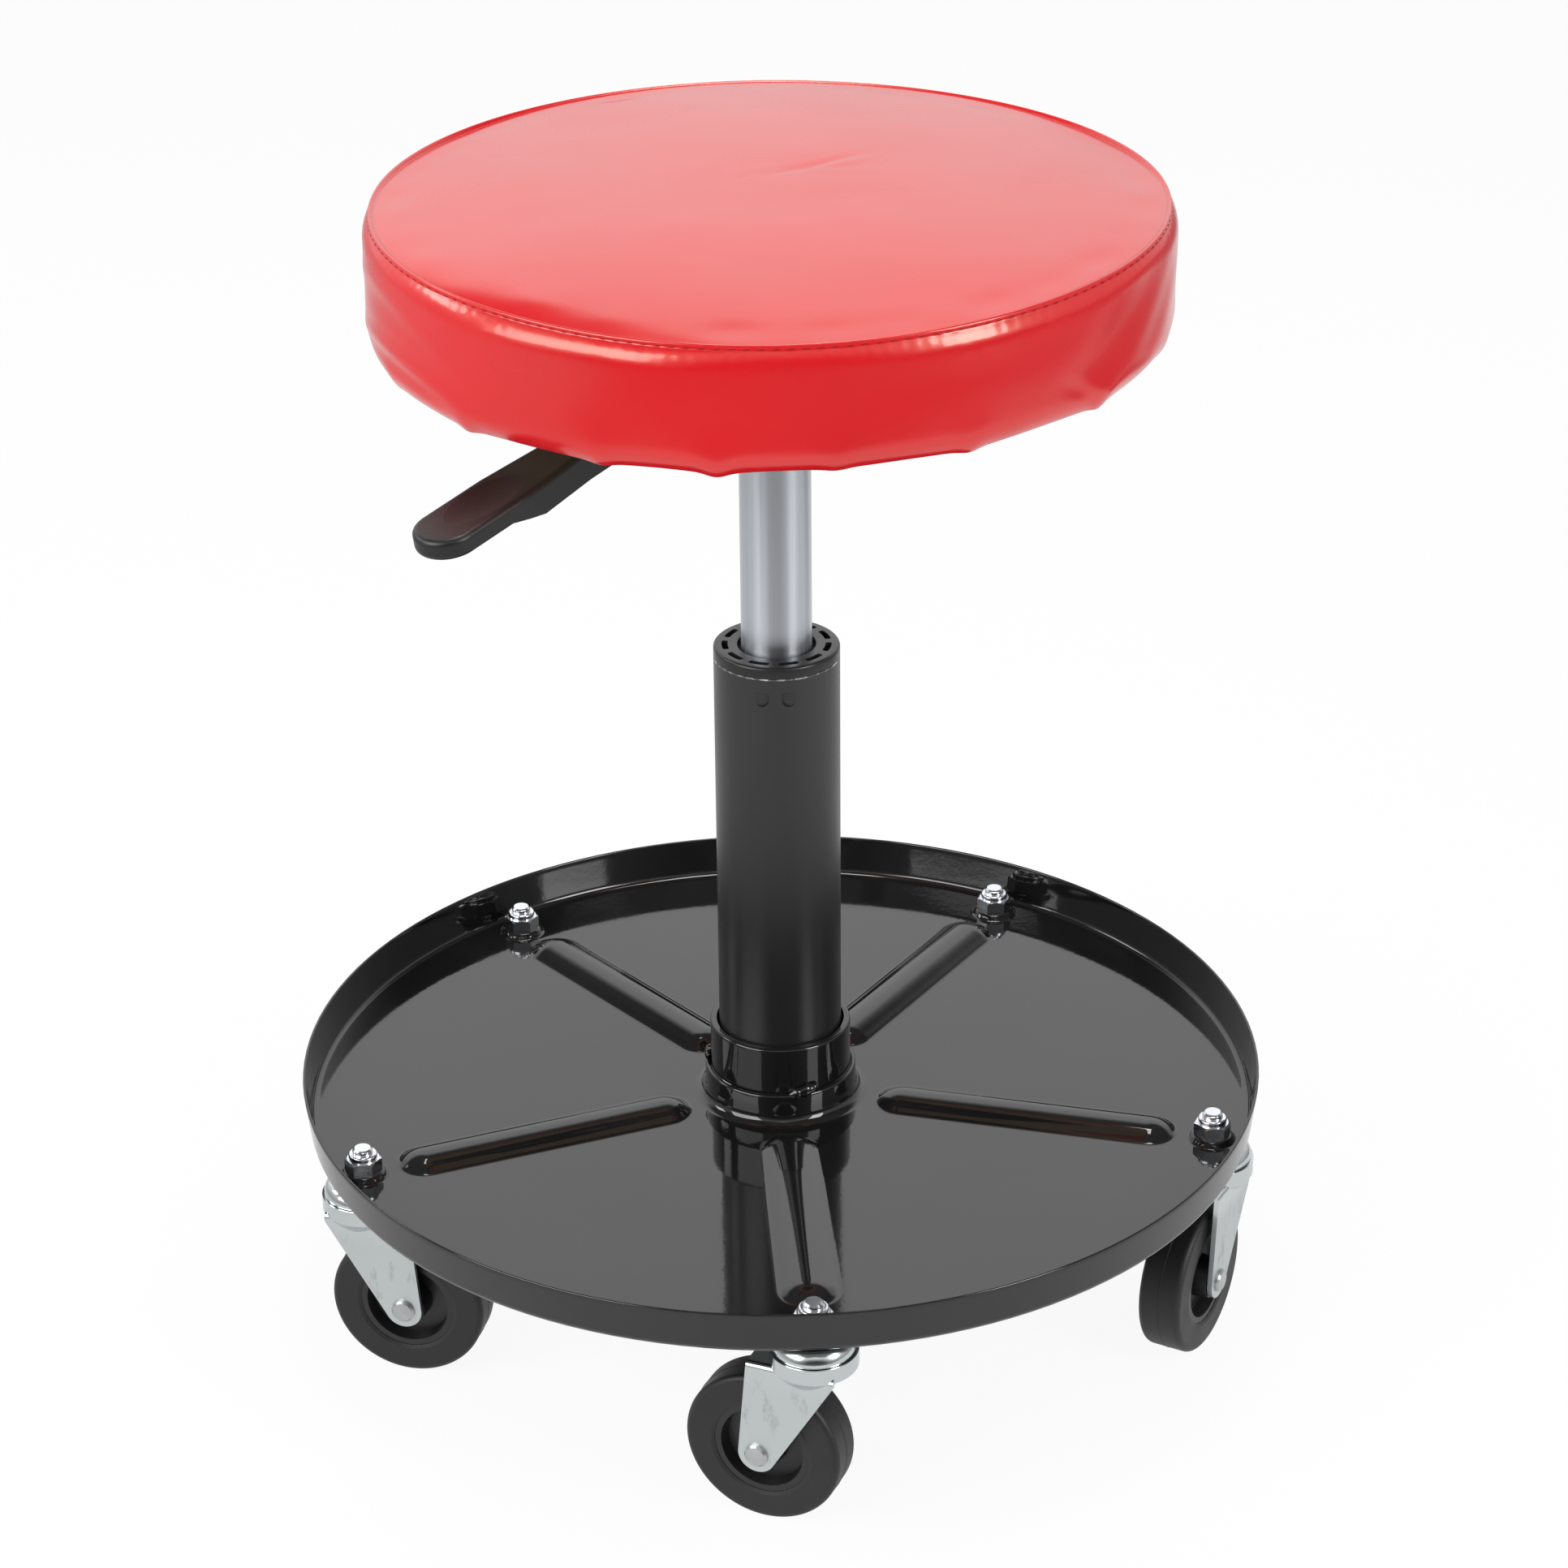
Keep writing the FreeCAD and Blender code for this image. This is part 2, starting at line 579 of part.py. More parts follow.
def guide_bush():
    bore = "cylinder_diameter / 2 + fit_gap"
    sleeve = "tube_diameter / 2 - tube_wall - fit_gap"
    bush = revolved("guide_bush", [
        (bore, "bush_bottom_z"),
        (sleeve, "bush_bottom_z"),
        (sleeve, "tube_top_z"),
        ("tube_diameter / 2", "tube_top_z"),
        ("tube_diameter / 2", "bush_top_z"),
        ("bush_mouth_diameter / 2", "bush_top_z"),
        ("bush_mouth_diameter / 2", "bush_top_z - bush_mouth_depth"),
        (bore, "bush_top_z - bush_mouth_depth"),
    ])
    round_edges(bush, "bush_round", ring_edge("bush_top_z", "tube_diameter / 2"))
    inner, outer = "(bush_slot_radius - bush_slot_width / 2)", "(bush_slot_radius + bush_slot_width / 2)"
    across, along = "sin(bush_slot_angle / 2 * 1 deg)", "cos(bush_slot_angle / 2 * 1 deg)"
    slot = new_sketch(bush, "XY_Plane", "bush_top_z")
    outline(slot, [
        (f"{outer} * {along}", f"-{outer} * {across}", outer),
        (f"{outer} * {along}", f"{outer} * {across}"),
        (f"{inner} * {along}", f"{inner} * {across}", f"-{inner}"),
        (f"{inner} * {along}", f"-{inner} * {across}"),
    ])
    cut = push_feature(bush, "Pocket", slot, "bush_slot_depth")
    pattern(bush, [cut], "bush_slots")
    return bush


# Gas lift: the rod stands on the bearing, the cylinder slides over its piston
def piston_rod():
    end = "rod_end_diameter / 2"
    top = "piston_z + piston_length + 1"
    return revolved("piston_rod", [
        ("0", "rod_bottom_z"),
        (end, "rod_bottom_z"),
        (end, "rod_shoulder_z"),
        ("rod_diameter / 2", "rod_shoulder_z"),
        ("rod_diameter / 2", "piston_z"),
        (end, "piston_z"),
        (end, top),
        ("0", top),
    ])


def piston():
    groove = "(cylinder_diameter / 2 - cylinder_wall - seal_width)"
    face = "(cylinder_diameter / 2 - cylinder_wall - 2 * fit_gap)"
    middle = "(piston_z + piston_length / 2)"
    bore = "rod_end_diameter / 2 + fit_gap"
    return revolved("piston", [
        (bore, "piston_z"),
        (face, "piston_z"),
        (face, f"{middle} - seal_width / 2"),
        (groove, f"{middle} - seal_width / 2"),
        (groove, f"{middle} + seal_width / 2"),
        (face, f"{middle} + seal_width / 2"),
        (face, "piston_z + piston_length"),
        (bore, "piston_z + piston_length"),
    ])


def gas_cylinder():
    bore = "cylinder_diameter / 2 - cylinder_wall"
    under = "cylinder_top_z - 2 * cylinder_wall"
    pin = "valve_pin_diameter / 2 + 2 * fit_gap"
    return revolved("gas_cylinder", [
        (bore, "cylinder_bottom_z"),
        ("cylinder_diameter / 2", "cylinder_bottom_z"),
        ("cylinder_diameter / 2", "socket_bottom_z"),
        ("cylinder_tip_diameter / 2", "cylinder_top_z"),
        (pin, "cylinder_top_z"),
        (pin, under),
        (bore, under),
    ])


# Seat plate, its socket and the release lever are drawn with the lever along +X
def gas_socket():
    socket = revolved("gas_socket", [
        ("cylinder_diameter / 2 + fit_gap", "socket_bottom_z"),
        ("socket_diameter / 2", "socket_bottom_z"),
        ("socket_diameter / 2", "plate_top_z - plate_thickness"),
        ("cylinder_tip_diameter / 2 + fit_gap", "plate_top_z - plate_thickness"),
        ("cylinder_tip_diameter / 2 + fit_gap", "cylinder_top_z"),
    ])
    slot = new_sketch(socket, "YZ_Plane")
    outline(slot, [
        ("-socket_slot / 2", "socket_slot_z"),
        ("socket_slot / 2", "socket_slot_z"),
        ("socket_slot / 2", "plate_top_z"),
        ("-socket_slot / 2", "plate_top_z"),
    ])
    push_feature(socket, "Pocket", slot, "socket_diameter", reverse=True)
    return socket


def seat_plate():
    plate = new_body("seat_plate")
    face = new_sketch(plate, "XY_Plane", "plate_top_z - plate_thickness")
    side, inside = "plate_side / 2", "(plate_side / 2 - plate_corner)"
    outline(face, [
        (f"-{inside}", f"-{side}"),
        (inside, f"-{side}", "plate_corner"),
        (side, f"-{inside}"),
        (side, inside, "plate_corner"),
        (inside, side),
        (f"-{inside}", side, "plate_corner"),
        (f"-{side}", inside),
        (f"-{side}", f"-{inside}", "plate_corner"),
    ])
    push_feature(plate, "Pad", face, "plate_thickness")
    hole = new_sketch(plate, "XY_Plane", "plate_top_z")
    circle(hole, "seat_bolt_pitch / 2", "seat_bolt_pitch / 2", "seat_bolt_diameter / 2 + 0.4")
    drilled = push_feature(plate, "Pocket", hole, "plate_thickness")
    pattern(plate, [drilled], "4")
    return plate


def lever_ear():
    ear = new_body("lever_ear")
    face = new_sketch(ear, "XZ_Plane")
    top = "(plate_top_z - plate_thickness)"
    half = "ear_width / 2"
    outline(face, [
        (f"pivot_radius - {half}", top),
        (f"pivot_radius - {half}", f"{top} - ear_height + {half}", half),
        (f"pivot_radius + {half}", f"{top} - ear_height + {half}"),
        (f"pivot_radius + {half}", top),
    ])
    push_feature(ear, "Pad", face, "ear_thickness", symmetric=True)
    hole = new_sketch(ear, "XZ_Plane")
    circle(hole, "pivot_radius", "pivot_z", "pivot_pin_diameter / 2 + fit_gap")
    push_feature(ear, "Pocket", hole, "3 * ear_thickness", symmetric=True)
    return ear


def lever_bar():
    half, slope = "bar_thickness / 2", "lever_droop * 1 deg"
    tip_x, tip_z = f"bar_bend + bar_length * cos({slope})", f"-bar_length * sin({slope})"
    bar = new_body("lever_bar")
    eye = new_sketch(bar, "XZ_Plane")
    circle(eye, "0", "0", "eye_diameter / 2")
    push_feature(bar, "Pad", eye, "bar_width", symmetric=True)
    strip = new_sketch(bar, "XZ_Plane")
    outline(strip, [
        ("-pivot_radius", half, half),
        ("-pivot_radius", f"-{half}"),
        (f"bar_bend - {half} * tan({slope} / 2)", f"-{half}"),
        (f"{tip_x} - {half} * sin({slope})", f"{tip_z} - {half} * cos({slope})"),
        (f"{tip_x} + {half} * sin({slope})", f"{tip_z} + {half} * cos({slope})"),
        (f"bar_bend + {half} * tan({slope} / 2)", half),
    ])
    push_feature(bar, "Pad", strip, "bar_width", symmetric=True)
    hole = new_sketch(bar, "XZ_Plane")
    circle(hole, "0", "0", "pivot_pin_diameter / 2 + fit_gap")
    push_feature(bar, "Pocket", hole, "2 * bar_width", symmetric=True)
    return bar


def outer_edge(level):
    """Picks the edges of the grip's outline at a height, leaving out the straight ones across it."""
    def wanted(edge):
        box = edge.BoundBox
        across = box.XLength < 1e-3
        return not across and abs(box.ZMin - size(level)) < 1e-3 and abs(box.ZMax - size(level)) < 1e-3

    return wanted


def lever_grip():
    grip = new_body("lever_grip")
    plan = new_sketch(grip, "XY_Plane", "-neck_bottom")
    neck, paddle = "neck_width / 2", "grip_width / 2"
    outline(plan, [
        ("grip_start", f"-{neck}"),
        ("flare_start", f"-{neck}"),
        ("flare_end", f"-{paddle}"),
        (f"grip_end - {paddle}", f"-{paddle}", paddle),
        (f"grip_end - {paddle}", paddle),
        ("flare_end", paddle),
        ("flare_start", neck),
        ("grip_start", neck),
    ])
    push_feature(grip, "Pad", plan, "neck_bottom + grip_top")
    below = new_sketch(grip, "XZ_Plane")
    outline(below, [
        ("neck_end", "-neck_bottom"),
        ("neck_end", "-2 * neck_bottom"),
        ("2 * grip_end", "-2 * neck_bottom"),
        ("2 * grip_end", "-paddle_bottom"),
        ("ramp_end", "-paddle_bottom"),
    ])
    push_feature(grip, "Pocket", below, "4 * grip_width", symmetric=True)
    for level in ("grip_top", "-paddle_bottom"):
        round_edges(grip, "grip_round", outer_edge(level))
    channel = new_sketch(grip, "YZ_Plane", "grip_start")
    outline(channel, [
        ("-bar_width / 2 - fit_gap", "-bar_thickness / 2 - fit_gap"),
        ("bar_width / 2 + fit_gap", "-bar_thickness / 2 - fit_gap"),
        ("bar_width / 2 + fit_gap", "bar_thickness / 2 + fit_gap"),
        ("-bar_width / 2 - fit_gap", "bar_thickness / 2 + fit_gap"),
    ])
    push_feature(grip, "Pocket", channel, "bar_length - grip_start + fit_gap", reverse=True)

    # shallow dish for the thumb, the imprint of a long barrel
    dish = new_sketch(grip, "XZ_Plane")
    axis_z = "(grip_top - dish_depth + dish_round)"
    sag = "(2 * dish_depth)"
    barrel = f"((dish_end - dish_start) ^ 2 / 4 + {sag} ^ 2) / (2 * {sag})"
    outline(dish, [
        ("dish_start", "grip_top + dish_depth", f"({barrel})"),
        ("dish_end", "grip_top + dish_depth"),
        ("dish_end", axis_z),
        ("dish_start", axis_z),
    ])
    ends = [FreeCAD.Vector(size(x), size(axis_z), 0) for x in ("dish_start", "dish_end")]
    geo = dish.addGeometry(Part.LineSegment(*ends), True)
    hold(dish, geo, 1, "dish_start", axis_z)
    hold(dish, geo, 2, "dish_end", axis_z)
    turn_feature(grip, "Groove", dish, "Axis0")
    return grip


# Cushion: board, foam and the cover that is drawn tight over both and tucked under
def seat_board():
    bottom, top = "plate_top_z", "(plate_top_z + board_thickness)"
    board = revolved("seat_board", [
        ("0", bottom), ("board_radius", bottom), ("board_radius", top), ("0", top),
    ])
    corner = "seat_bolt_pitch / 2"
    barrel = new_sketch(board, "XY_Plane", top)
    circle(barrel, corner, corner, "tee_barrel / 2 + fit_gap")
    drilled = push_feature(board, "Pocket", barrel, "board_thickness")
    seat = new_sketch(board, "XY_Plane", top)
    circle(seat, corner, corner, "tee_flange / 2 + fit_gap")
    sunk = push_feature(board, "Pocket", seat, "tee_flange_thickness")
    pattern(board, [drilled, sunk], "4")
    return board


CROWN_RISE = "(seat_crown_z - seat_top_z)"
CROWN_RADIUS = f"((seat_top_radius ^ 2 + {CROWN_RISE} ^ 2) / (2 * {CROWN_RISE}))"


def inner_top(inset):
    """Seam, shoulder and crown, from the seam to the middle, drawn in by an inset."""
    return [
        (f"seat_seam_radius - {inset}", f"seat_seam_z - 0.4 * {inset}", f"(seat_shoulder - {inset})"),
        ("seat_top_radius", f"seat_top_z - {inset}", CROWN_RADIUS),
        ("0", f"seat_crown_z - {inset}"),
    ]


def seat_foam():
    inset = "(cover_thickness + 3 * fit_gap)"
    top = "(plate_top_z + board_thickness)"
    low = "(plate_top_z + 3 * fit_gap)"
    edge = f"(seat_hem_radius - {inset})"
    return revolved("seat_foam", [
        ("0", top),
        ("board_radius + fit_gap", top),
        ("board_radius + fit_gap", low),
        (f"{edge} - seat_hem_round", low),
        (edge, f"{low} + seat_hem_round", f"(seat_side_bow - {inset})"),
    ] + inner_top(inset))


def seat_cover():
    inset = "cover_thickness"
    low = "(seat_bottom_z + cover_thickness)"
    side = "(seat_hem_radius - cover_thickness)"
    corner = "(seat_hem_round - cover_thickness)"
    return revolved("seat_cover", [
        ("0", "seat_crown_z", f"-{CROWN_RADIUS}"),
        ("seat_top_radius", "seat_top_z", "-seat_shoulder"),
        ("seat_seam_radius", "seat_seam_z", "-seat_side_bow"),
        ("seat_hem_radius", "seat_bottom_z + seat_hem_round", "-seat_hem_round"),
        ("seat_hem_radius - seat_hem_round", "seat_bottom_z"),
        ("seat_tuck_radius", "seat_bottom_z"),
        ("seat_tuck_radius", low),
        ("seat_hem_radius - seat_hem_round", low, corner),
        (side, f"{low} + {corner}", f"(seat_side_bow - {inset})"),
    ] + inner_top(inset))


# Fasteners
def hexagon(sketch, flats):
    corners = []
    for k in range(6):
        corners.append((f"{flats} / sqrt(3) * cos({60 * k} deg)", f"{flats} / sqrt(3) * sin({60 * k} deg)"))
    outline(sketch, corners)


def chamfered(body, flats, low, high):
    """Turns the corners of a hexagon down between two heights."""
    corner = f"{flats} / sqrt(3)"
    ring_cut = new_sketch(body, "XZ_Plane")
    outline(ring_cut, [
        (f"{flats} / 2", high), (f"{corner} + 1", high), (f"{corner} + 1", low), (corner, low),
    ])
    turn_feature(body, "Groove", ring_cut)


def stud_nut():
    """Locking nut: hexagon with a round collar; drawn on its own base."""
    nut = new_body("stud_nut")
    base = new_sketch(nut, "XY_Plane")
    hexagon(base, "nut_flats")
    push_feature(nut, "Pad", base, "nut_hex")
    chamfered(nut, "nut_flats", "nut_hex - 0.7", "nut_hex")
    collar = new_sketch(nut, "XY_Plane")
    circle(collar, "0", "0", "nut_collar_diameter / 2")
    push_feature(nut, "Pad", collar, "nut_height")
    round_edges(nut, "0.9", ring_edge("nut_height", "nut_collar_diameter / 2"))
    hole = new_sketch(nut, "XY_Plane")
    circle(hole, "0", "0", "stud_diameter / 2 + fit_gap")
    push_feature(nut, "Pocket", hole, "2 * nut_height", reverse=True)
    return nut


def seat_bolt():
    """Hexagon bolt, drawn from the face under its head upwards."""
    bolt = new_body("seat_bolt")
    head = new_sketch(bolt, "XY_Plane", "-seat_bolt_head")
    hexagon(head, "seat_bolt_flats")
    push_feature(bolt, "Pad", head, "seat_bolt_head")
    chamfered(bolt, "seat_bolt_flats", "0.6 - seat_bolt_head", "-seat_bolt_head")
    shank = new_sketch(bolt, "XY_Plane")
    circle(shank, "0", "0", "seat_bolt_diameter / 2")
    push_feature(bolt, "Pad", shank, "seat_bolt_length")
    return bolt


def tee_nut():
    """Drawn from the top of its flange downwards."""
    bore = "seat_bolt_diameter / 2 + fit_gap"
    foot = "1 - board_thickness"
    return revolved("tee_nut", [
        (bore, foot),
        ("tee_barrel / 2", foot),
        ("tee_barrel / 2", "-tee_flange_thickness"),
        ("tee_flange / 2", "-tee_flange_thickness"),
        ("tee_flange / 2", "0"),
        (bore, "0"),
    ])


# Caster pieces are drawn around the swivel axis with the wheel trailing along +X
def race_cap():
    bore = "stud_diameter / 2 + fit_gap"
    return revolved("race_cap", [
        (bore, "race_cap_z"),
        ("race_cap_diameter / 2", "race_cap_z"),
        ("race_cap_diameter / 2", "race_cap_z + race_cap_edge", "race_cap_dome"),
        ("race_cap_top_diameter / 2", "tray_floor_z - sheet_steel"),
        (bore, "tray_floor_z - sheet_steel"),
    ])


def caster_stud():
    head, shank = "kingpin_head_diameter / 2", "stud_diameter / 2"
    stud = revolved("caster_stud", [
        ("0", "kingpin_bottom_z"),
        (head, "kingpin_bottom_z"),
        (head, "kingpin_head_z"),
        (shank, "kingpin_head_z"),
        (shank, "stud_top_z - 0.8"),
        (f"{shank} - 0.8", "stud_top_z"),
        ("0", "stud_top_z"),
    ])
    round_edges(stud, "1.6", ring_edge("kingpin_bottom_z", head))
    return stud


def fork_bend_edge(edge):
    """Picks the long edges where the fork's top bends down into its legs."""
    box = edge.BoundBox
    return box.XLength > 1 and box.YLength < 1e-3 and abs(box.ZMin - size("fork_top_z")) < 1e-3


def caster_fork():
    width = "(fork_gap + 2 * fork_sheet)"
    fork = new_body("caster_fork")
    side = new_sketch(fork, "XZ_Plane")
    centre = FreeCAD.Vector(size("trail"), size("wheel_radius"), 0)
    front = FreeCAD.Vector(-size("fork_front"), size("fork_front_z"), 0)
    rear = FreeCAD.Vector(size("trail + fork_rear"), size("fork_top_z"), 0)
    foot = size("fork_foot")
    # the leg's straight edges touch its rounded foot from outside
    touch = []
    for point, turn in ((front, 1), (rear, -1)):
        reach = point - centre
        lean = math.atan2(reach.y, reach.x) + turn * math.acos(foot / reach.Length)
        touch.append(centre + FreeCAD.Vector(math.cos(lean), math.sin(lean), 0) * foot)
    angles = [math.atan2(p.y - centre.y, p.x - centre.x) for p in touch]
    arc = Part.ArcOfCircle(Part.Circle(centre, FreeCAD.Vector(0, 0, 1), foot), angles[0], angles[1])
    top_front = FreeCAD.Vector(front.x, rear.y, 0)
    edges = [
        Part.LineSegment(rear, top_front),
        Part.LineSegment(top_front, front),
        Part.LineSegment(front, touch[0]),
        arc,
        Part.LineSegment(touch[1], rear),
    ]
    geo = [side.addGeometry(edge, False) for edge in edges]
    for i, j in ((0, 1), (1, 2), (4, 0)):
        side.addConstraint(Sketcher.Constraint("Coincident", geo[i], 2, geo[j], 1))
    side.addConstraint(Sketcher.Constraint("Tangent", geo[2], 2, geo[3], 1))
    side.addConstraint(Sketcher.Constraint("Tangent", geo[3], 2, geo[4], 1))
    hold(side, geo[3], 3, "trail", "wheel_radius")
    bind(side, Sketcher.Constraint("Radius", geo[3], foot), ex("fork_foot"))
    hold(side, geo[0], 1, "trail + fork_rear", "fork_top_z")
    hold(side, geo[1], 1, "-fork_front", "fork_top_z")
    hold(side, geo[2], 1, "-fork_front", "fork_front_z")
    push_feature(fork, "Pad", side, width, symmetric=True)
    round_edges(fork, "fork_bend", fork_bend_edge)

    # raceway pressed out of the fork's top and drawn in to the legs below
    skirt = "race_skirt_diameter / 2"
    race = new_sketch(fork, "XZ_Plane")
    outline(race, [
        ("0", "fork_top_z - fork_sheet"),
        (f"{skirt} - fork_sheet", "fork_top_z - fork_sheet"),
        ("fork_gap / 2", "race_skirt_bottom_z"),
        ("fork_gap / 2 + fork_sheet", "race_skirt_bottom_z"),
        (skirt, "race_skirt_fold_z"),
        (skirt, "race_skirt_top_z"),
        (f"{skirt} - fork_sheet", "race_skirt_top_z"),
        (f"{skirt} - fork_sheet", "fork_top_z"),
        ("0", "fork_top_z"),
    ])
    turn_feature(fork, "Revolution", race)

    # space between the legs, and the holes for stud and axle
    channel = new_sketch(fork, "YZ_Plane")
    outline(channel, [
        ("-fork_gap / 2", "0"),
        ("fork_gap / 2", "0"),
        ("fork_gap / 2", "fork_top_z - fork_sheet"),
        ("-fork_gap / 2", "fork_top_z - fork_sheet"),
    ])
    push_feature(fork, "Pocket", channel, "4 * race_skirt_diameter", symmetric=True)
    stud = new_sketch(fork, "XY_Plane")
    circle(stud, "0", "0", "stud_diameter / 2 + 0.3")
    push_feature(fork, "Pocket", stud, "2 * fork_top_z", reverse=True)
    axle = new_sketch(fork, "XZ_Plane")
    circle(axle, "trail", "wheel_radius", "axle_diameter / 2 + fit_gap")
    push_feature(fork, "Pocket", axle, "2 * fork_gap", symmetric=True)
    return fork


# Wheel pieces are drawn around their own axle, which is +Z here
def axle_rivet():
    half = "(fork_gap / 2 + fork_sheet)"
    head, shank = "rivet_head_diameter / 2", "axle_diameter / 2"
    return revolved("axle_rivet", [
        ("0", f"-{half} - rivet_head"),
        (f"{head} - 0.7", f"-{half} - rivet_head"),
        (head, f"0.7 - {half} - rivet_head"),
        (head, f"-{half}"),
        (shank, f"-{half}"),
        (shank, half),
        (head, half),
        (head, f"{half} + rivet_head - 0.7"),
        (f"{head} - 0.7", f"{half} + rivet_head"),
        ("0", f"{half} + rivet_head"),
    ])


def mirrored_profile(half):
    """Adds the other side of a profile given from the middle outwards."""
    return half + [(r, f"-({y})") + tuple(rest) for r, y, *rest in reversed(half)]


def wheel_hub():
    boss, web, rim = "hub_boss_length / 2", "hub_web / 2", "hub_rim_width / 2"
    inside = "(tyre_inner_radius - hub_rim_depth)"
    return revolved("wheel_hub", mirrored_profile([
        ("sleeve_diameter / 2 + fit_gap", boss),
        ("hub_boss_radius", boss),
        ("hub_boss_radius + 1", web),
        (f"{inside} - 1", web),
        (inside, rim),
        ("tyre_inner_radius - fit_gap", rim),
    ])[::-1])


def tyre():
    side = "(wheel_width / 2)"
    tread = "wheel_radius"
    return revolved("tyre", [
        ("tyre_inner_radius", f"-{side} + 0.6"),
        ("tyre_inner_radius + 1.4", f"-{side}"),
        (f"{tread} - tyre_round", f"-{side}", "tyre_round"),
        (tread, f"tyre_round - {side}"),
        (tread, f"{side} - tyre_round", "tyre_round"),
        (f"{tread} - tyre_round", side),
        ("tyre_inner_radius + 1.4", side),
        ("tyre_inner_radius", f"{side} - 0.6"),
    ])


# Base: tray, hub, column and bearing
for piece in (tool_tray, hub_socket, column_tube, guide_bush):
    keep(piece())
lower_top = "(race_z + race_thickness)"
upper_low = f"({lower_top} + bearing_ball + 2 * fit_gap)"
keep(ring("lower_race", "rod_end_diameter / 2 + 0.6", "race_radius", "race_z", lower_top))
doc.recompute()
thrust_ball = ball("thrust_ball", "bearing_ball")
doc.recompute()
ball_z = size(f"{lower_top} + bearing_ball / 2 + fit_gap")
group_of("thrust_balls", thrust_ball, around_places("bearing_balls", size("bearing_ball_radius"), ball_z))

# Spindle: rod, piston and what sits on the rod
keep(ring("upper_race", "rod_end_diameter / 2 + fit_gap", "race_radius", upper_low, "rod_shoulder_z - fit_gap"))
keep(piston_rod())
keep(piston())
seal_middle = "(piston_z + piston_length / 2)"
seal_wall = "cylinder_diameter / 2 - cylinder_wall"
keep(ring(
    "piston_seal",
    f"{seal_wall} - seal_width + fit_gap",
    f"{seal_wall} - fit_gap",
    f"{seal_middle} - seal_width / 2 + fit_gap",
    f"{seal_middle} + seal_width / 2 - fit_gap",
))
keep(ring("bump_stop", "rod_diameter / 2 + fit_gap", "bump_radius", "rod_shoulder_z", "bump_top_z"))
keep(ring("rod_clip", "rod_end_diameter / 2 + fit_gap", "clip_radius", "clip_z", "clip_z + clip_thickness"))

# Cylinder with its inner pieces
keep(gas_cylinder())
guide_top = "(cylinder_bottom_z + guide_length)"
keep(ring("rod_guide", "rod_diameter / 2 + fit_gap", f"{seal_wall} - fit_gap", "cylinder_bottom_z", guide_top))
keep(ring(
    "rod_seal", "rod_diameter / 2 + fit_gap", f"{seal_wall} - fit_gap", guide_top, f"{guide_top} + rod_seal_length"
))
valve_top = "(cylinder_top_z - 2 * cylinder_wall)"
keep(ring(
    "valve_block",
    "valve_pin_diameter / 2 + 2 * fit_gap",
    f"{seal_wall} - fit_gap",
    f"{valve_top} - valve_length",
    valve_top,
))
pin_top = "(pivot_z - bar_thickness / 2 - pin_gap)"
pin_low = f"({pin_top} - valve_pin_length)"
keep(revolved("valve_pin", [
    ("0", pin_low),
    ("valve_pin_diameter / 2", pin_low),
    ("valve_pin_diameter / 2", f"{pin_top} - 0.6"),
    ("valve_pin_diameter / 2 - 0.6", pin_top),
    ("0", pin_top),
]))

# Seat plate with the lever, all turned to the lever's direction
azimuth = at(degrees=size("lever_azimuth"))
for piece in (gas_socket, seat_plate):
    keep(piece()).Placement = azimuth
pivot = azimuth.multiply(at(x=size("pivot_radius"), z=size("pivot_z")))
keep(lever_bar()).Placement = pivot
slope = at(x=size("bar_bend"), axis=(0, 1, 0), degrees=size("lever_droop"))
keep(lever_grip()).Placement = pivot.multiply(slope)
ear = lever_ear()
pivot_pin = revolved("pivot_pin", [
    ("0", "-pivot_pin_length / 2"),
    ("pivot_pin_diameter / 2", "-pivot_pin_length / 2"),
    ("pivot_pin_diameter / 2", "pivot_pin_length / 2"),
    ("0", "pivot_pin_length / 2"),
])
keep(pivot_pin).Placement = pivot.multiply(at(axis=(1, 0, 0), degrees=90))
doc.recompute()
ear_side = size("ear_gap / 2 + ear_thickness / 2")
group_of("lever_ears", ear, [azimuth.multiply(at(y=side * ear_side)) for side in (-1, 1)])

# Cushion and its fasteners
keep(seat_board()).Placement = azimuth
keep(seat_foam())
keep(seat_cover())
masters = {piece.__name__: piece() for piece in (seat_bolt, tee_nut, stud_nut, race_cap, caster_stud)}
masters["bolt_washer"] = ring("bolt_washer", "seat_bolt_diameter / 2 + 0.2", "washer_diameter / 2", "0", "washer_thickness")
for piece in (caster_fork, axle_rivet, wheel_hub, tyre):
    masters[piece.__name__] = piece()
masters["axle_sleeve"] = ring(
    "axle_sleeve", "axle_diameter / 2 + fit_gap", "sleeve_diameter / 2", "-sleeve_length / 2", "sleeve_length / 2"
)
masters["swivel_ball"] = ball("swivel_ball", "swivel_ball")
doc.recompute()
plate_under = size("plate_top_z - plate_thickness")
corner_reach = size("seat_bolt_pitch / sqrt(2)")
for label, master, z in (
    ("seat_bolts", "seat_bolt", plate_under - size("washer_thickness")),
    ("bolt_washers", "bolt_washer", plate_under - size("washer_thickness")),
    ("tee_nuts", "tee_nut", size("plate_top_z + board_thickness")),
):
    places = [azimuth.multiply(place) for place in around_places("4", corner_reach, z, 45)]
    group_of(label, masters[master], places)

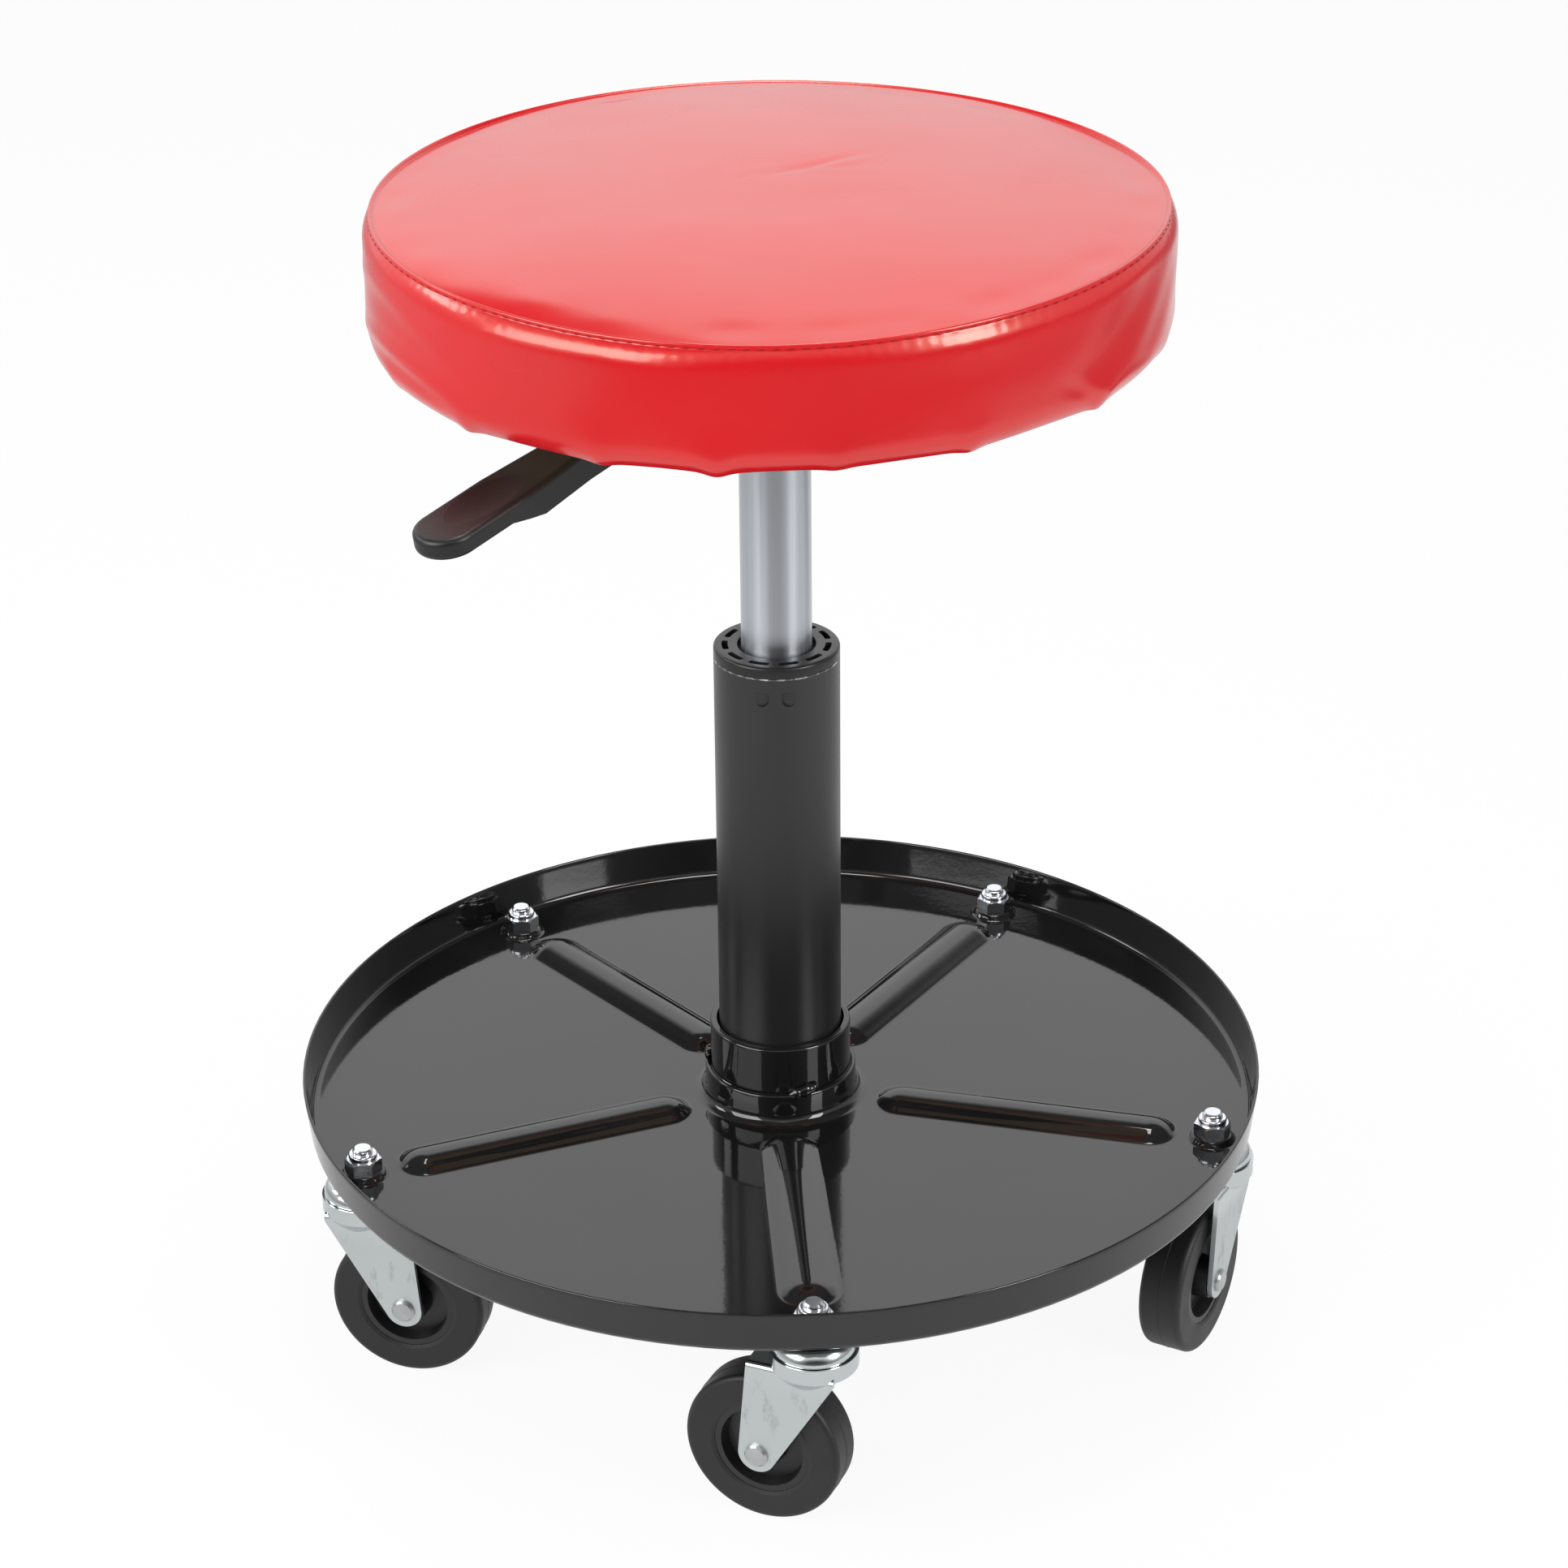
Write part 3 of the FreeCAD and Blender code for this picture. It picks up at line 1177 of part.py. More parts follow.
# Casters
count = int(size("caster_count"))
circle_radius = size("bolt_circle_radius")
swivels = around_places("caster_count", circle_radius, 0, -90)
group_of("race_caps", masters["race_cap"], swivels)
group_of("caster_studs", masters["caster_stud"], swivels)
nut_z = size("tray_floor_z + pad_rise")
group_of("stud_nuts", masters["stud_nut"], around_places("caster_count", circle_radius, nut_z, -90))
ball_places = []
swivel_ball_z = size("fork_top_z + swivel_ball / 2 + fit_gap")
for place in swivels:
    for inner in around_places("swivel_balls", size("swivel_ball_radius"), swivel_ball_z):
        ball_places.append(place.multiply(inner))
group_of("swivel_balls", masters["swivel_ball"], ball_places)
wheel_place = at(x=size("trail"), z=size("wheel_radius")).multiply(at(axis=(1, 0, 0), degrees=90))
for number, (swivel, angle) in enumerate(zip(swivels, TRAIL_ANGLES), start=1):
    caster = swivel.multiply(at(degrees=angle))
    copy_of(f"caster_fork_{number}", masters["caster_fork"], caster)
    wheel = caster.multiply(wheel_place)
    for name in ("axle_rivet", "axle_sleeve", "wheel_hub", "tyre"):
        copy_of(f"{name}_{number}", masters[name], wheel)
doc.recompute()

# Every piece is whole before it is written
for part in doc.Objects:
    if {"Invalid", "Error"} & set(part.State):
        raise RuntimeError(f"{part.Label} did not build: {part.State}")
os.makedirs("parts", exist_ok=True)
for part in nodes:
    shape = part.Shape
    if shape.isNull() or not shape.isValid() or not shape.Solids:
        raise RuntimeError(f"{part.Label} has no valid solid")
    shape.exportStep(f"parts/{part.Label}.step")
print(len(nodes), "nodes written")
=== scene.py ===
import json
import math

import bpy
from mathutils import Matrix, Vector, noise


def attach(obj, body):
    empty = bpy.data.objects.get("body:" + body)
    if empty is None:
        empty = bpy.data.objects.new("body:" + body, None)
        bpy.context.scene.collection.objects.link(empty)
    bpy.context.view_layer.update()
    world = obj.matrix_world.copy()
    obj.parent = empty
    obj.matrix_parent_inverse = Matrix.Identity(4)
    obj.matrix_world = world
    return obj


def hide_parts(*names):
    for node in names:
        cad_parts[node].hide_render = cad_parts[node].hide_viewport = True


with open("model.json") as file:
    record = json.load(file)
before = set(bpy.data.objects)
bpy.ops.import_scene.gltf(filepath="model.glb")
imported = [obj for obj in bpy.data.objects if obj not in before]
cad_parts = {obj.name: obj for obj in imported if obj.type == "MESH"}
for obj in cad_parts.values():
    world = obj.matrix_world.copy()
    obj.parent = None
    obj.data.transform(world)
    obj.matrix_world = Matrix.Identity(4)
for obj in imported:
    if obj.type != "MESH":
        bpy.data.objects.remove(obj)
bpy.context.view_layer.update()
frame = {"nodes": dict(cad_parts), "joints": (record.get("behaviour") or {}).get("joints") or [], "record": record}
nodes = frame["nodes"]
MM = 0.001


# Small helpers for materials
class Nodes:
    """Short ways to add and join the nodes of a tree."""

    def __init__(self, tree, coordinates):
        self.tree = tree
        self.place = self.add("ShaderNodeTexCoord").outputs[coordinates]

    def add(self, kind, **settings):
        node = self.tree.nodes.new(kind)
        for key, value in settings.items():
            setattr(node, key, value)
        return node

    def put(self, socket, value):
        """Links an output to an input, or sets the input to a value."""
        if isinstance(value, bpy.types.NodeSocket):
            self.tree.links.new(value, socket)
        else:
            socket.default_value = value

    def ranged(self, value, low, high, start=0.0, end=1.0):
        """Maps a value from start..end to low..high."""
        node = self.add("ShaderNodeMapRange")
        self.put(node.inputs["Value"], value)
        self.put(node.inputs["From Min"], start)
        self.put(node.inputs["From Max"], end)
        self.put(node.inputs["To Min"], low)
        self.put(node.inputs["To Max"], high)
        return node.outputs["Result"]

    def maths(self, operation, first, second=0.0):
        node = self.add("ShaderNodeMath", operation=operation)
        self.put(node.inputs[0], first)
        self.put(node.inputs[1], second)
        return node.outputs["Value"]

    def product(self, value, *factors):
        for factor in factors:
            value = self.maths("MULTIPLY", value, factor)
        return value

    def axis(self, name, vector=None):
        """One part of a vector, or of the place."""
        node = self.add("ShaderNodeSeparateXYZ")
        self.put(node.inputs["Vector"], vector or self.place)
        return node.outputs[name]

    def rays(self):
        """1 for rays from the camera, and 1 for reflected and refracted ones."""
        path = self.add("ShaderNodeLightPath").outputs
        mirrored = self.maths("MAXIMUM", path["Is Glossy Ray"], path["Is Transmission Ray"])
        return path["Is Camera Ray"], mirrored


class Shader(Nodes):
    """A node material on a Principled shader, in object coordinates."""

    def __init__(self, name):
        self.material = bpy.data.materials.new(name)
        self.material.use_nodes = True
        super().__init__(self.material.node_tree, "Object")
        self.surface = self.tree.nodes["Principled BSDF"]

    def set(self, **values):
        for name, value in values.items():
            self.put(self.surface.inputs[name.replace("_", " ")], value)
        return self

    def stretch(self, scale):
        """Object coordinates scaled along each axis."""
        mapping = self.add("ShaderNodeMapping")
        self.put(mapping.inputs["Vector"], self.place)
        self.put(mapping.inputs["Scale"], scale)
        return mapping.outputs["Vector"]

    def noise(self, scale, detail=4.0, rough=0.5, vector=None):
        node = self.add("ShaderNodeTexNoise")
        self.put(node.inputs["Vector"], vector or self.place)
        self.put(node.inputs["Scale"], scale)
        self.put(node.inputs["Detail"], detail)
        self.put(node.inputs["Roughness"], rough)
        return node.outputs["Fac"]

    def cells(self, scale):
        node = self.add("ShaderNodeTexVoronoi")
        self.put(node.inputs["Vector"], self.place)
        self.put(node.inputs["Scale"], scale)
        return node.outputs["Distance"]

    def colours(self, value, stops):
        """Colours between stops, each a place and a colour."""
        node = self.add("ShaderNodeValToRGB")
        self.put(node.inputs["Fac"], value)
        ramp = node.color_ramp
        while len(ramp.elements) < len(stops):
            ramp.elements.new(0.5)
        for element, (at, colour) in zip(ramp.elements, stops):
            element.position = at
            element.color = (*colour, 1.0)
        return node.outputs["Color"]

    def blend(self, share, first, second):
        """Mixes two colours."""
        node = self.add("ShaderNodeMix", data_type="RGBA")
        self.put(node.inputs["Factor"], share)
        self.put(node.inputs[6], first)
        self.put(node.inputs[7], second)
        return node.outputs[2]

    def bump(self, height, distance, strength=1.0, under=None):
        node = self.add("ShaderNodeBump")
        self.put(node.inputs["Height"], height)
        self.put(node.inputs["Distance"], distance)
        self.put(node.inputs["Strength"], strength)
        if under is not None:
            self.put(node.inputs["Normal"], under)
        return node.outputs["Normal"]


# Materials: heights in metres of the tube's upper edge and of the rise from a fork's legs to its raceway
EDGE_Z = 0.28215
RACEWAY_Z = (0.060, 0.067)


def gloss_paint():
    """Thick gloss black paint on pressed sheet, with faint orange peel and handling haze."""
    s = Shader("gloss_black_paint")
    haze = s.noise(14, 5, 0.6)
    fine = s.noise(420, 2)
    wide = s.noise(26, 2)
    s.set(
        Base_Color=s.colours(haze, [(0.3, (0.007, 0.007, 0.0075)), (0.75, (0.012, 0.0115, 0.0115))]),
        Roughness=s.ranged(haze, 0.045, 0.11, 0.35, 0.75),
        Normal=s.bump(fine, 0.00002, 0.5, s.bump(wide, 0.0002, 0.35)),
        Specular_IOR_Level=0.62,
    )
    return s.material


def satin_paint():
    """Satin black powder coat with a fine orange peel, and a pale line painted along the upper edge of the tube:
    partly paint rubbed bare, partly a painted highlight of the edge's rounding.
    """
    s = Shader("satin_black_paint")
    grain = s.noise(900, 3)
    patch = s.noise(9, 4)
    # pale grey painted along the tube's upper edge: partly paint rubbed bare, partly a painted highlight standing
    # in for light caught by the edge's rounding
    from_edge = s.maths("ABSOLUTE", s.maths("SUBTRACT", s.axis("Z"), EDGE_Z))
    near_edge = s.ranged(from_edge, 1.0, 0.0, 0.0002, 0.0005)
    worn_and_highlight = s.ranged(s.noise(240, 4, 0.7), 0.1, 1.0, 0.5, 0.62)
    paint = s.colours(patch, [(0.3, (0.012, 0.012, 0.0125)), (0.8, (0.018, 0.0175, 0.0175))])
    s.set(
        Base_Color=s.blend(s.product(near_edge, worn_and_highlight), paint, (0.5, 0.5, 0.51, 1.0)),
        Roughness=s.ranged(patch, 0.3, 0.4, 0.3, 0.7),
        Normal=s.bump(grain, 0.00003, 0.6),
        Specular_IOR_Level=0.7,
    )
    return s.material


def moulded_plastic(name, colour, rough, grain_size):
    """Moulded plastic with a fine spark-eroded grain."""
    s = Shader(name)
    grain = s.noise(grain_size, 2)
    patch = s.noise(22, 3)
    dark = tuple(c * 0.75 for c in colour)
    s.set(
        Base_Color=s.colours(patch, [(0.3, dark), (0.75, colour)]),
        Roughness=s.ranged(patch, rough - 0.05, rough + 0.05, 0.3, 0.7),
        Normal=s.bump(grain, 0.00006, 0.5),
    )
    return s.material


def ground_steel():
    """Drawn steel cylinder: lengthwise streaks over fine turning marks."""
    s = Shader("drawn_steel")
    streak = s.noise(1, 4, 0.6, s.stretch((520, 520, 5)))
    turned = s.noise(1, 3, 0.5, s.stretch((30, 30, 2600)))
    tangent = s.add("ShaderNodeTangent", direction_type="RADIAL", axis="Z")
    s.set(
        Base_Color=s.colours(streak, [(0.3, (0.6, 0.635, 0.685)), (0.7, (0.69, 0.72, 0.77))]),
        Metallic=1.0,
        Roughness=s.ranged(streak, 0.34, 0.4, 0.3, 0.7),
        Anisotropic=0.7,
        Anisotropic_Rotation=0.25,
        Tangent=tangent.outputs["Tangent"],
        Normal=s.bump(turned, 0.00002, 0.3, s.bump(streak, 0.00003, 0.4)),
    )
    return s.material


def zinc_plate(name, light, rough, smudge):
    """Bright zinc plating with cloudy passivation and small smudges."""
    s = Shader(name)
    cloud = s.noise(60, 5, 0.6)
    spots = s.noise(260, 3, 0.7)
    clouded = s.ranged(cloud, rough + 0.08, rough, 0.3, 0.7)
    dark = tuple(c * (1.0 - smudge) for c in light)
    s.set(
        Base_Color=s.colours(cloud, [(0.28, dark), (0.62, light)]),
        Metallic=1.0,
        Roughness=s.maths("ADD", clouded, s.ranged(spots, 0.0, 0.07, 0.45, 0.8)),
        Normal=s.bump(spots, 0.00004, 0.35),
    )
    return s.material


def fork_zinc():
    """Zinc-plated pressings: satin legs with handling smudges, brighter around the drawn raceway."""
    s = Shader("caster_zinc")
    cloud = s.noise(70, 5, 0.6)
    smear = s.noise(1, 6, 0.7, s.stretch((150, 150, 60)))
    spots = s.noise(260, 3, 0.7)
    raceway = s.ranged(s.axis("Z"), 0.0, 1.0, *RACEWAY_Z)
    smudge = s.product(s.ranged(smear, 0.0, 1.0, 0.55, 0.75), s.ranged(raceway, 1.0, 0.2))
    s.set(
        Base_Color=s.colours(smudge, [(0.0, (0.61, 0.645, 0.65)), (1.0, (0.36, 0.37, 0.39))]),
        Metallic=1.0,
        Roughness=s.maths("ADD", s.ranged(raceway, 0.46, 0.16), s.ranged(cloud, 0.05, -0.03, 0.3, 0.7)),
        Normal=s.bump(spots, 0.00004, 0.35),
    )
    return s.material


def plain_metal(name, colour, rough):
    """Machined metal with fine tool marks."""
    s = Shader(name)
    marks = s.noise(1, 3, 0.5, s.stretch((900, 900, 2200)))
    dark = tuple(c * 0.82 for c in colour)
    s.set(
        Base_Color=s.colours(marks, [(0.3, dark), (0.7, colour)]),
        Metallic=1.0,
        Roughness=s.ranged(marks, rough - 0.06, rough + 0.08, 0.3, 0.7),
        Normal=s.bump(marks, 0.00002, 0.4),
    )
    return s.material


def tyre_rubber():
    """Dark rubber with a dusty bloom and fine mould texture."""
    s = Shader("tyre_rubber")
    dust = s.noise(55, 5, 0.65)
    grain = s.noise(1400, 2)
    s.set(
        Base_Color=s.colours(dust, [(0.3, (0.007, 0.007, 0.0074)), (0.8, (0.015, 0.015, 0.0157))]),
        Roughness=s.ranged(dust, 0.42, 0.6, 0.3, 0.8),
        Normal=s.bump(grain, 0.00005, 0.5),
    )
    return s.material


def seal_rubber():
    """Plain black rubber with a fine mould texture."""
    s = Shader("seal_rubber")
    grain = s.noise(1100, 2)
    s.set(
        Base_Color=s.colours(grain, [(0.3, (0.016, 0.016, 0.016)), (0.8, (0.03, 0.03, 0.03))]),
        Roughness=s.ranged(grain, 0.5, 0.65),
        Normal=s.bump(grain, 0.00005, 0.5),
    )
    return s.material


def plywood():
    """Pale plywood: stretched face grain with darker growth lines."""
    s = Shader("plywood")
    grain = s.noise(1, 6, 0.65, s.stretch((9, 160, 60)))
    fibre = s.noise(1, 3, 0.5, s.stretch((70, 1500, 1500)))
    tones = [(0.25, (0.33, 0.2, 0.095)), (0.55, (0.52, 0.36, 0.2)), (0.8, (0.6, 0.44, 0.27))]
    s.set(
        Base_Color=s.colours(grain, tones),
        Roughness=s.ranged(grain, 0.55, 0.75),
        Normal=s.bump(fibre, 0.0002, 0.5),
    )
    return s.material


def red_vinyl():
    """Glossy red vinyl with a fine leather grain and slightly uneven shine."""
    s = Shader("red_vinyl")
    grain = s.cells(1050)
    pores = s.noise(2300, 2)
    tone = s.noise(7, 3)
    shine = s.noise(18, 1, 0.4)
    # the panel, which faces up, is stretched smoother than the band
    facing_up = s.axis("Z", s.add("ShaderNodeTexCoord").outputs["Normal"])
    strength = s.ranged(facing_up, 0.15, 0.012, 0.2, 0.9)
    s.set(
        Base_Color=s.colours(tone, [(0.1, (0.54, 0.002, 0.009)), (0.9, (0.66, 0.004, 0.013))]),
        Roughness=s.ranged(shine, 0.18, 0.33, 0.1, 0.9),
        Normal=s.bump(grain, 0.00005, strength, s.bump(pores, 0.00002, strength)),
        Specular_IOR_Level=0.62,
        Specular_Tint=(1.0, 0.97, 0.72, 1.0),
        Coat_Weight=0.5,
        Coat_Roughness=0.1,
    )
    return s.material


def thread():
    """Twisted polyester thread."""
    s = Shader("red_thread")
    twist = s.noise(2600, 2)
    s.set(
        Base_Color=s.colours(twist, [(0.3, (0.3, 0.002, 0.005)), (0.7, (0.45, 0.004, 0.008))]),
        Roughness=s.ranged(twist, 0.55, 0.75),
        Normal=s.bump(twist, 0.0001, 0.6),
        Specular_IOR_Level=0.25,
    )
    return s.material


PAINT = gloss_paint()
SATIN = satin_paint()
BUSH = moulded_plastic("bush_plastic", (0.016, 0.016, 0.0168), 0.3, 1500)
GRIP = moulded_plastic("grip_plastic", (0.014, 0.0135, 0.0135), 0.42, 1800)
WHEEL = moulded_plastic("wheel_plastic", (0.014, 0.014, 0.0145), 0.38, 1600)
STEEL = ground_steel()
BRIGHT = zinc_plate("bright_zinc", (0.74, 0.76, 0.8), 0.13, 0.18)
ZINC = fork_zinc()
RIVET = zinc_plate("rivet_zinc", (0.56, 0.565, 0.57), 0.22, 0.25)
TURNED = plain_metal("turned_steel", (0.52, 0.52, 0.53), 0.32)
ALUMINIUM = plain_metal("turned_aluminium", (0.7, 0.7, 0.72), 0.3)
BRASS = plain_metal("turned_brass", (0.74, 0.54, 0.24), 0.28)
TYRE = tyre_rubber()
SEAL = seal_rubber()
PLYWOOD = plywood()
VINYL = red_vinyl()
THREAD = thread()

LOOKS = {
    "tray_paint": PAINT,
    "tube_paint": SATIN,
    "bush_plastic": BUSH,
    "grip_plastic": GRIP,
    "cylinder_steel": STEEL,
    "plain_steel": TURNED,
    "piston_metal": ALUMINIUM,
    "valve_brass": BRASS,
    "seal_rubber": SEAL,
    "plate_paint": SATIN,
    "board_wood": PLYWOOD,
    "foam": PLYWOOD,
    "seat_vinyl": VINYL,
    "bolt_zinc": BRIGHT,
    "caster_zinc": ZINC,
    "rivet_steel": RIVET,
    "wheel_plastic": WHEEL,
    "tyre_rubber": TYRE,
}
for piece in frame["record"]["subparts"]:
    slots = nodes[piece["node"]].data.materials
    for i in range(len(slots)):
        slots[i] = LOOKS[piece["material_slot"]]


# Meshes: measures are in millimetres, and MM brings them to metres
def add_object(name, verts, faces, material, body, smooth=True):
    mesh = bpy.data.meshes.new(name)
    mesh.from_pydata([tuple(v) for v in verts], [], faces)
    mesh.update()
    for polygon in mesh.polygons:
        polygon.use_smooth = smooth
    mesh.materials.append(material)
    obj = bpy.data.objects.new(name, mesh)
    bpy.context.scene.collection.objects.link(obj)
    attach(obj, body)
    return obj


def tube_faces(base, steps, sides):
    """Faces of a capped tube through steps + 1 rings of points, numbered from base."""
    faces = []
    for k in range(steps):
        for q in range(sides):
            a, b = base + k * sides + q, base + k * sides + (q + 1) % sides
            faces.append((a, b, b + sides, a + sides))
    faces.append(tuple(base + q for q in reversed(range(sides))))
    faces.append(tuple(base + steps * sides + q for q in range(sides)))
    return faces


def ring_faces(rows, columns):
    """Faces over rows of points that close on themselves both ways."""
    faces = []
    for i in range(rows):
        after = (i + 1) % rows
        for j in range(columns):
            k = (j + 1) % columns
            faces.append((i * columns + j, after * columns + j, after * columns + k, i * columns + k))
    return faces


def flipped(faces):
    """The same faces, turned to their other side."""
    return [face[:1] + face[:0:-1] for face in faces]


def polar(radius, angle, z):
    return Vector((radius * math.cos(angle), radius * math.sin(angle), z))


def wave(angle, terms):
    """Sum of sines around the seat: (count, size, phase in degrees)."""
    return sum(size * math.sin(count * angle + math.radians(phase)) for count, size, phase in terms)


def between(value, start, end):
    """Smooth step from 0 at start to 1 at end."""
    t = min(1.0, max(0.0, (value - start) / (end - start)))
    return t * t * (3.0 - 2.0 * t)


def bell(value, middle, width):
    return math.exp(-(((value - middle) / width) ** 2))


# Seat cushion: top panel, seam with its row of stitches, side band and the edge drawn under the board
SEAM_RADIUS, PANEL_INSET, PANEL_DROP, BAND_RADIUS = 149.1, 1.3, 0.5, 152.1
CROWN_Z, CROWN_SLACK, BOARD_Z = 476.8, 0.2, 420.85
# The cover sits a little left of the column
COVER_SHIFT = Vector((-1.1, 0.0, 0.0))
# Mean heights of the seam and of the hem, and their sway around the seat: count, size, phase in degrees
SEAM_Z, SEAM_SWAY = 468.5, [(1, 2.55, 16), (2, 0.82, 126), (3, 0.34, 190)]
HEM_Z, HEM_SWAY = 420.2, [(1, 2.0, 63), (2, 0.4, 101)]
# Left of the front the seam is pulled in and the panel falls away to it: direction and width in degrees
PULLED_AT, PULLED_WIDTH, PULLED_IN = -128, 22, 1.3
FALL_AT, FALL_WIDTH, FALL, FALL_REACH = -136, 27, 2.8, 11.5
DOME_POWER = 2.6
# At the sides of the back the panel lies below the seam's welt: direction and width in degrees
WELTS, WELT_RISE = [(148, 26), (24, 20)], 1.0
# A shallow hollow inside the seam: depth, radius and width, and its ripple around the seat
HOLLOW, HOLLOW_AT, HOLLOW_WIDTH = 0.25, 139, 6
HOLLOW_RIPPLE = [(17, 0.5, 0), (29, 0.4, 60), (7, 0.6, 30)]
# Soft waves of the panel, which die out between two radii: height, length, layer of the noise
PANEL_WAVES, WAVES_END = [(0.5, 62, 0.3), (0.12, 24, 4.1)], (112, 146)
# A stray tuck near the middle of the top: place, depth and radius
PUCKER, PUCKER_DEPTH, PUCKER_RADIUS = Vector((14.0, 13.0)), 0.7, 13.0
# Creases running from it: a point on the way, length, width, depth
CREASES = [((-9.0, 2.0), 20.0, 2.2, 0.4), ((36.0, 27.0), 22.0, 2.6, 0.4), ((46.0, 12.0), 20.0, 3.0, 0.2)]
# Middle and fade of a crease as shares of its length, and the lip beside it as shares of its depth and width
CREASE_MIDDLE, CREASE_FADE = 0.55, 0.6
LIP_RISE, LIP_OUT, LIP_WIDTH = 0.6, 2.0, 1.3
# Stitches, the groove that they lie in, and the dimple below each, placed by share of the band's height
STITCHES, STITCH_DROP, STITCH_OUT = 184, 1.6, 0.62
GROOVE, GROOVE_WIDTH = 0.3, 0.35
DIMPLE, DIMPLE_AT, DIMPLE_REACH = 0.1, 0.03, 0.035
# Rings of points in the panel and in the band, and four columns to a stitch
TOP_RINGS, BAND_RINGS, AROUND = 56, 30, 4 * STITCHES
# The stitched strip below the seam: distance out from the seam, and drop
STRIP = [
    (-0.9, 0.95), (-0.5, 0.2), (0.0, 0.0), (0.4, 0.15), (0.66, 0.6), (0.72, 1.1), (0.7, 1.6), (0.8, 2.1),
]
# The side band: depth of its upper rounding, and how far and how sharply it turns in at the hem
BAND_ROUND, BAND_ROUND_MORE, ROUND_POWER = 7.0, 1.5, 2.2
HEM_IN, HEM_START, HEM_POWER = 3.6, 0.78, 2.6
# The tucked edge: radius and share of the hem's height above the board
TUCK = [
    (145.4, 0.8), (144.2, 0.4), (142.9, 0.1), (141.6, 0.0),
    (138.0, 0.0), (134.0, 0.0), (130.0, 0.0), (128.6, -0.1),
]
# The cushion is closed out of sight, inside the board: step inward and upward
CLOSE_IN, CLOSE_UP = 0.2, 4.0
# Points where the hem is drawn down between its gathers: direction in degrees, drop
KNEES = [
    (-178, 1.0), (-160, 0.7), (-140, 1.7), (-117, 1.5), (-101, 2.3), (-85, 1.1), (-66, 1.6), (-42, 1.9),
    (-20, 1.2), (2, 1.5), (24, 1.1), (47, 1.6), (70, 1.2), (95, 1.7), (118, 1.1), (140, 1.6), (160, 1.2),
]
# Share of a knee's drop that is in its peak, and widths of peak and foot in degrees
KNEE_PEAK, PEAK_WIDTH, KNEE_WIDTH = 0.55, 1.8, 6.0
# Gathers rising from the knees: depth, where they start, width at the hem and how much they spread
GATHER, GATHER_START, GATHER_WIDTH, GATHER_SPREAD = 0.35, 0.55, 2.2, 9.0
# Slack folds across the band: direction in degrees, height of the top, fall per square degree, width, depth
SWEEPS = [
    (-160, 433.5, 0.0165, 2.3, 0.8), (-164, 455.0, 0.029, 3.2, 0.45), (12, 436.0, 0.014, 2.6, 0.7),
    (60, 450.0, 0.02, 3.0, 0.5), (105, 434.0, 0.016, 2.4, 0.7), (140, 452.0, 0.024, 3.0, 0.45),
]
SWEEP_REACH = 17.0
# The hollow under a fold, as shares of the fold's depth and width
UNDER_DEPTH, UNDER_DROP, UNDER_WIDTH = 0.8, 2.2, 1.4
# Slanting pulls: direction in degrees, height, lean in degrees per mm, width in degrees, reach in mm, depth
PULLS = [
    (-40, 443, 0.55, 8.0, 26, 1.0), (-27, 440, 0.5, 4.0, 18, 0.5), (-46, 428, -0.5, 2.0, 6, 0.5),
    (-126, 436, 0.3, 7.0, 24, 0.5), (-137, 460, 0.4, 1.3, 5, 0.45), (28, 438, 0.45, 5.0, 18, 0.8),
    (76, 436, -0.4, 5.0, 16, 0.7), (120, 440, 0.5, 6.0, 20, 0.8), (156, 436, -0.35, 5.0, 16, 0.6),
]
# The ridge beside a pull, as shares of the pull's depth and width
RIDGE, RIDGE_OUT = 0.6, 1.9
# Folds, pulls and gathers fade in below the strip, over these shares of the band's height
FADE_IN = (0.03, 0.16)
# Unevenness of the band: size, middle and reach as shares of its height, scale around the seat, length
BAND_UNEVEN = [(0.45, 0.45, 0.3, 2.4, 30.0), (0.07, 0.08, 0.12, 33.0, 3.5)]


def turned(degrees, heading):
    """Signed difference between two directions in degrees."""
    return (degrees - heading + 180) % 360 - 180


def around(angle, heading, width):
    """1 in one direction, falling off to both sides."""
    return bell(turned(math.degrees(angle), heading), 0.0, width)


def seam_height(angle):
    return SEAM_Z + wave(angle, SEAM_SWAY)


def seam_radius(angle):
    return SEAM_RADIUS - PULLED_IN * around(angle, PULLED_AT, PULLED_WIDTH)


def stitch_pull(angle):
    """1 in the middle of each stitch and 0 between two."""
    return 0.5 - 0.5 * math.cos(STITCHES * angle)


def hem_height(angle):
    drop = 0.0
    for heading, depth in KNEES:
        peak, foot = around(angle, heading, PEAK_WIDTH), around(angle, heading, KNEE_WIDTH)
        drop += depth * (KNEE_PEAK * peak + (1.0 - KNEE_PEAK) * foot)
    return HEM_Z + wave(angle, HEM_SWAY) - drop


def tuck_depth(away):
    """Depth of the stray tuck and its creases, at a distance from its place."""
    sunk = PUCKER_DEPTH * math.exp(-away.length_squared / PUCKER_RADIUS**2)
    for end, length, width, depth in CREASES:
        run = (Vector(end) - PUCKER).normalized()
        along = away.dot(run)
        across = away.x * run.y - away.y * run.x
        fade = bell(along, CREASE_MIDDLE * length, CREASE_FADE * length)
        lip = LIP_RISE * bell(across, LIP_OUT * width, LIP_WIDTH * width)
        sunk += depth * fade * (bell(across, 0.0, width) - lip)
    return sunk


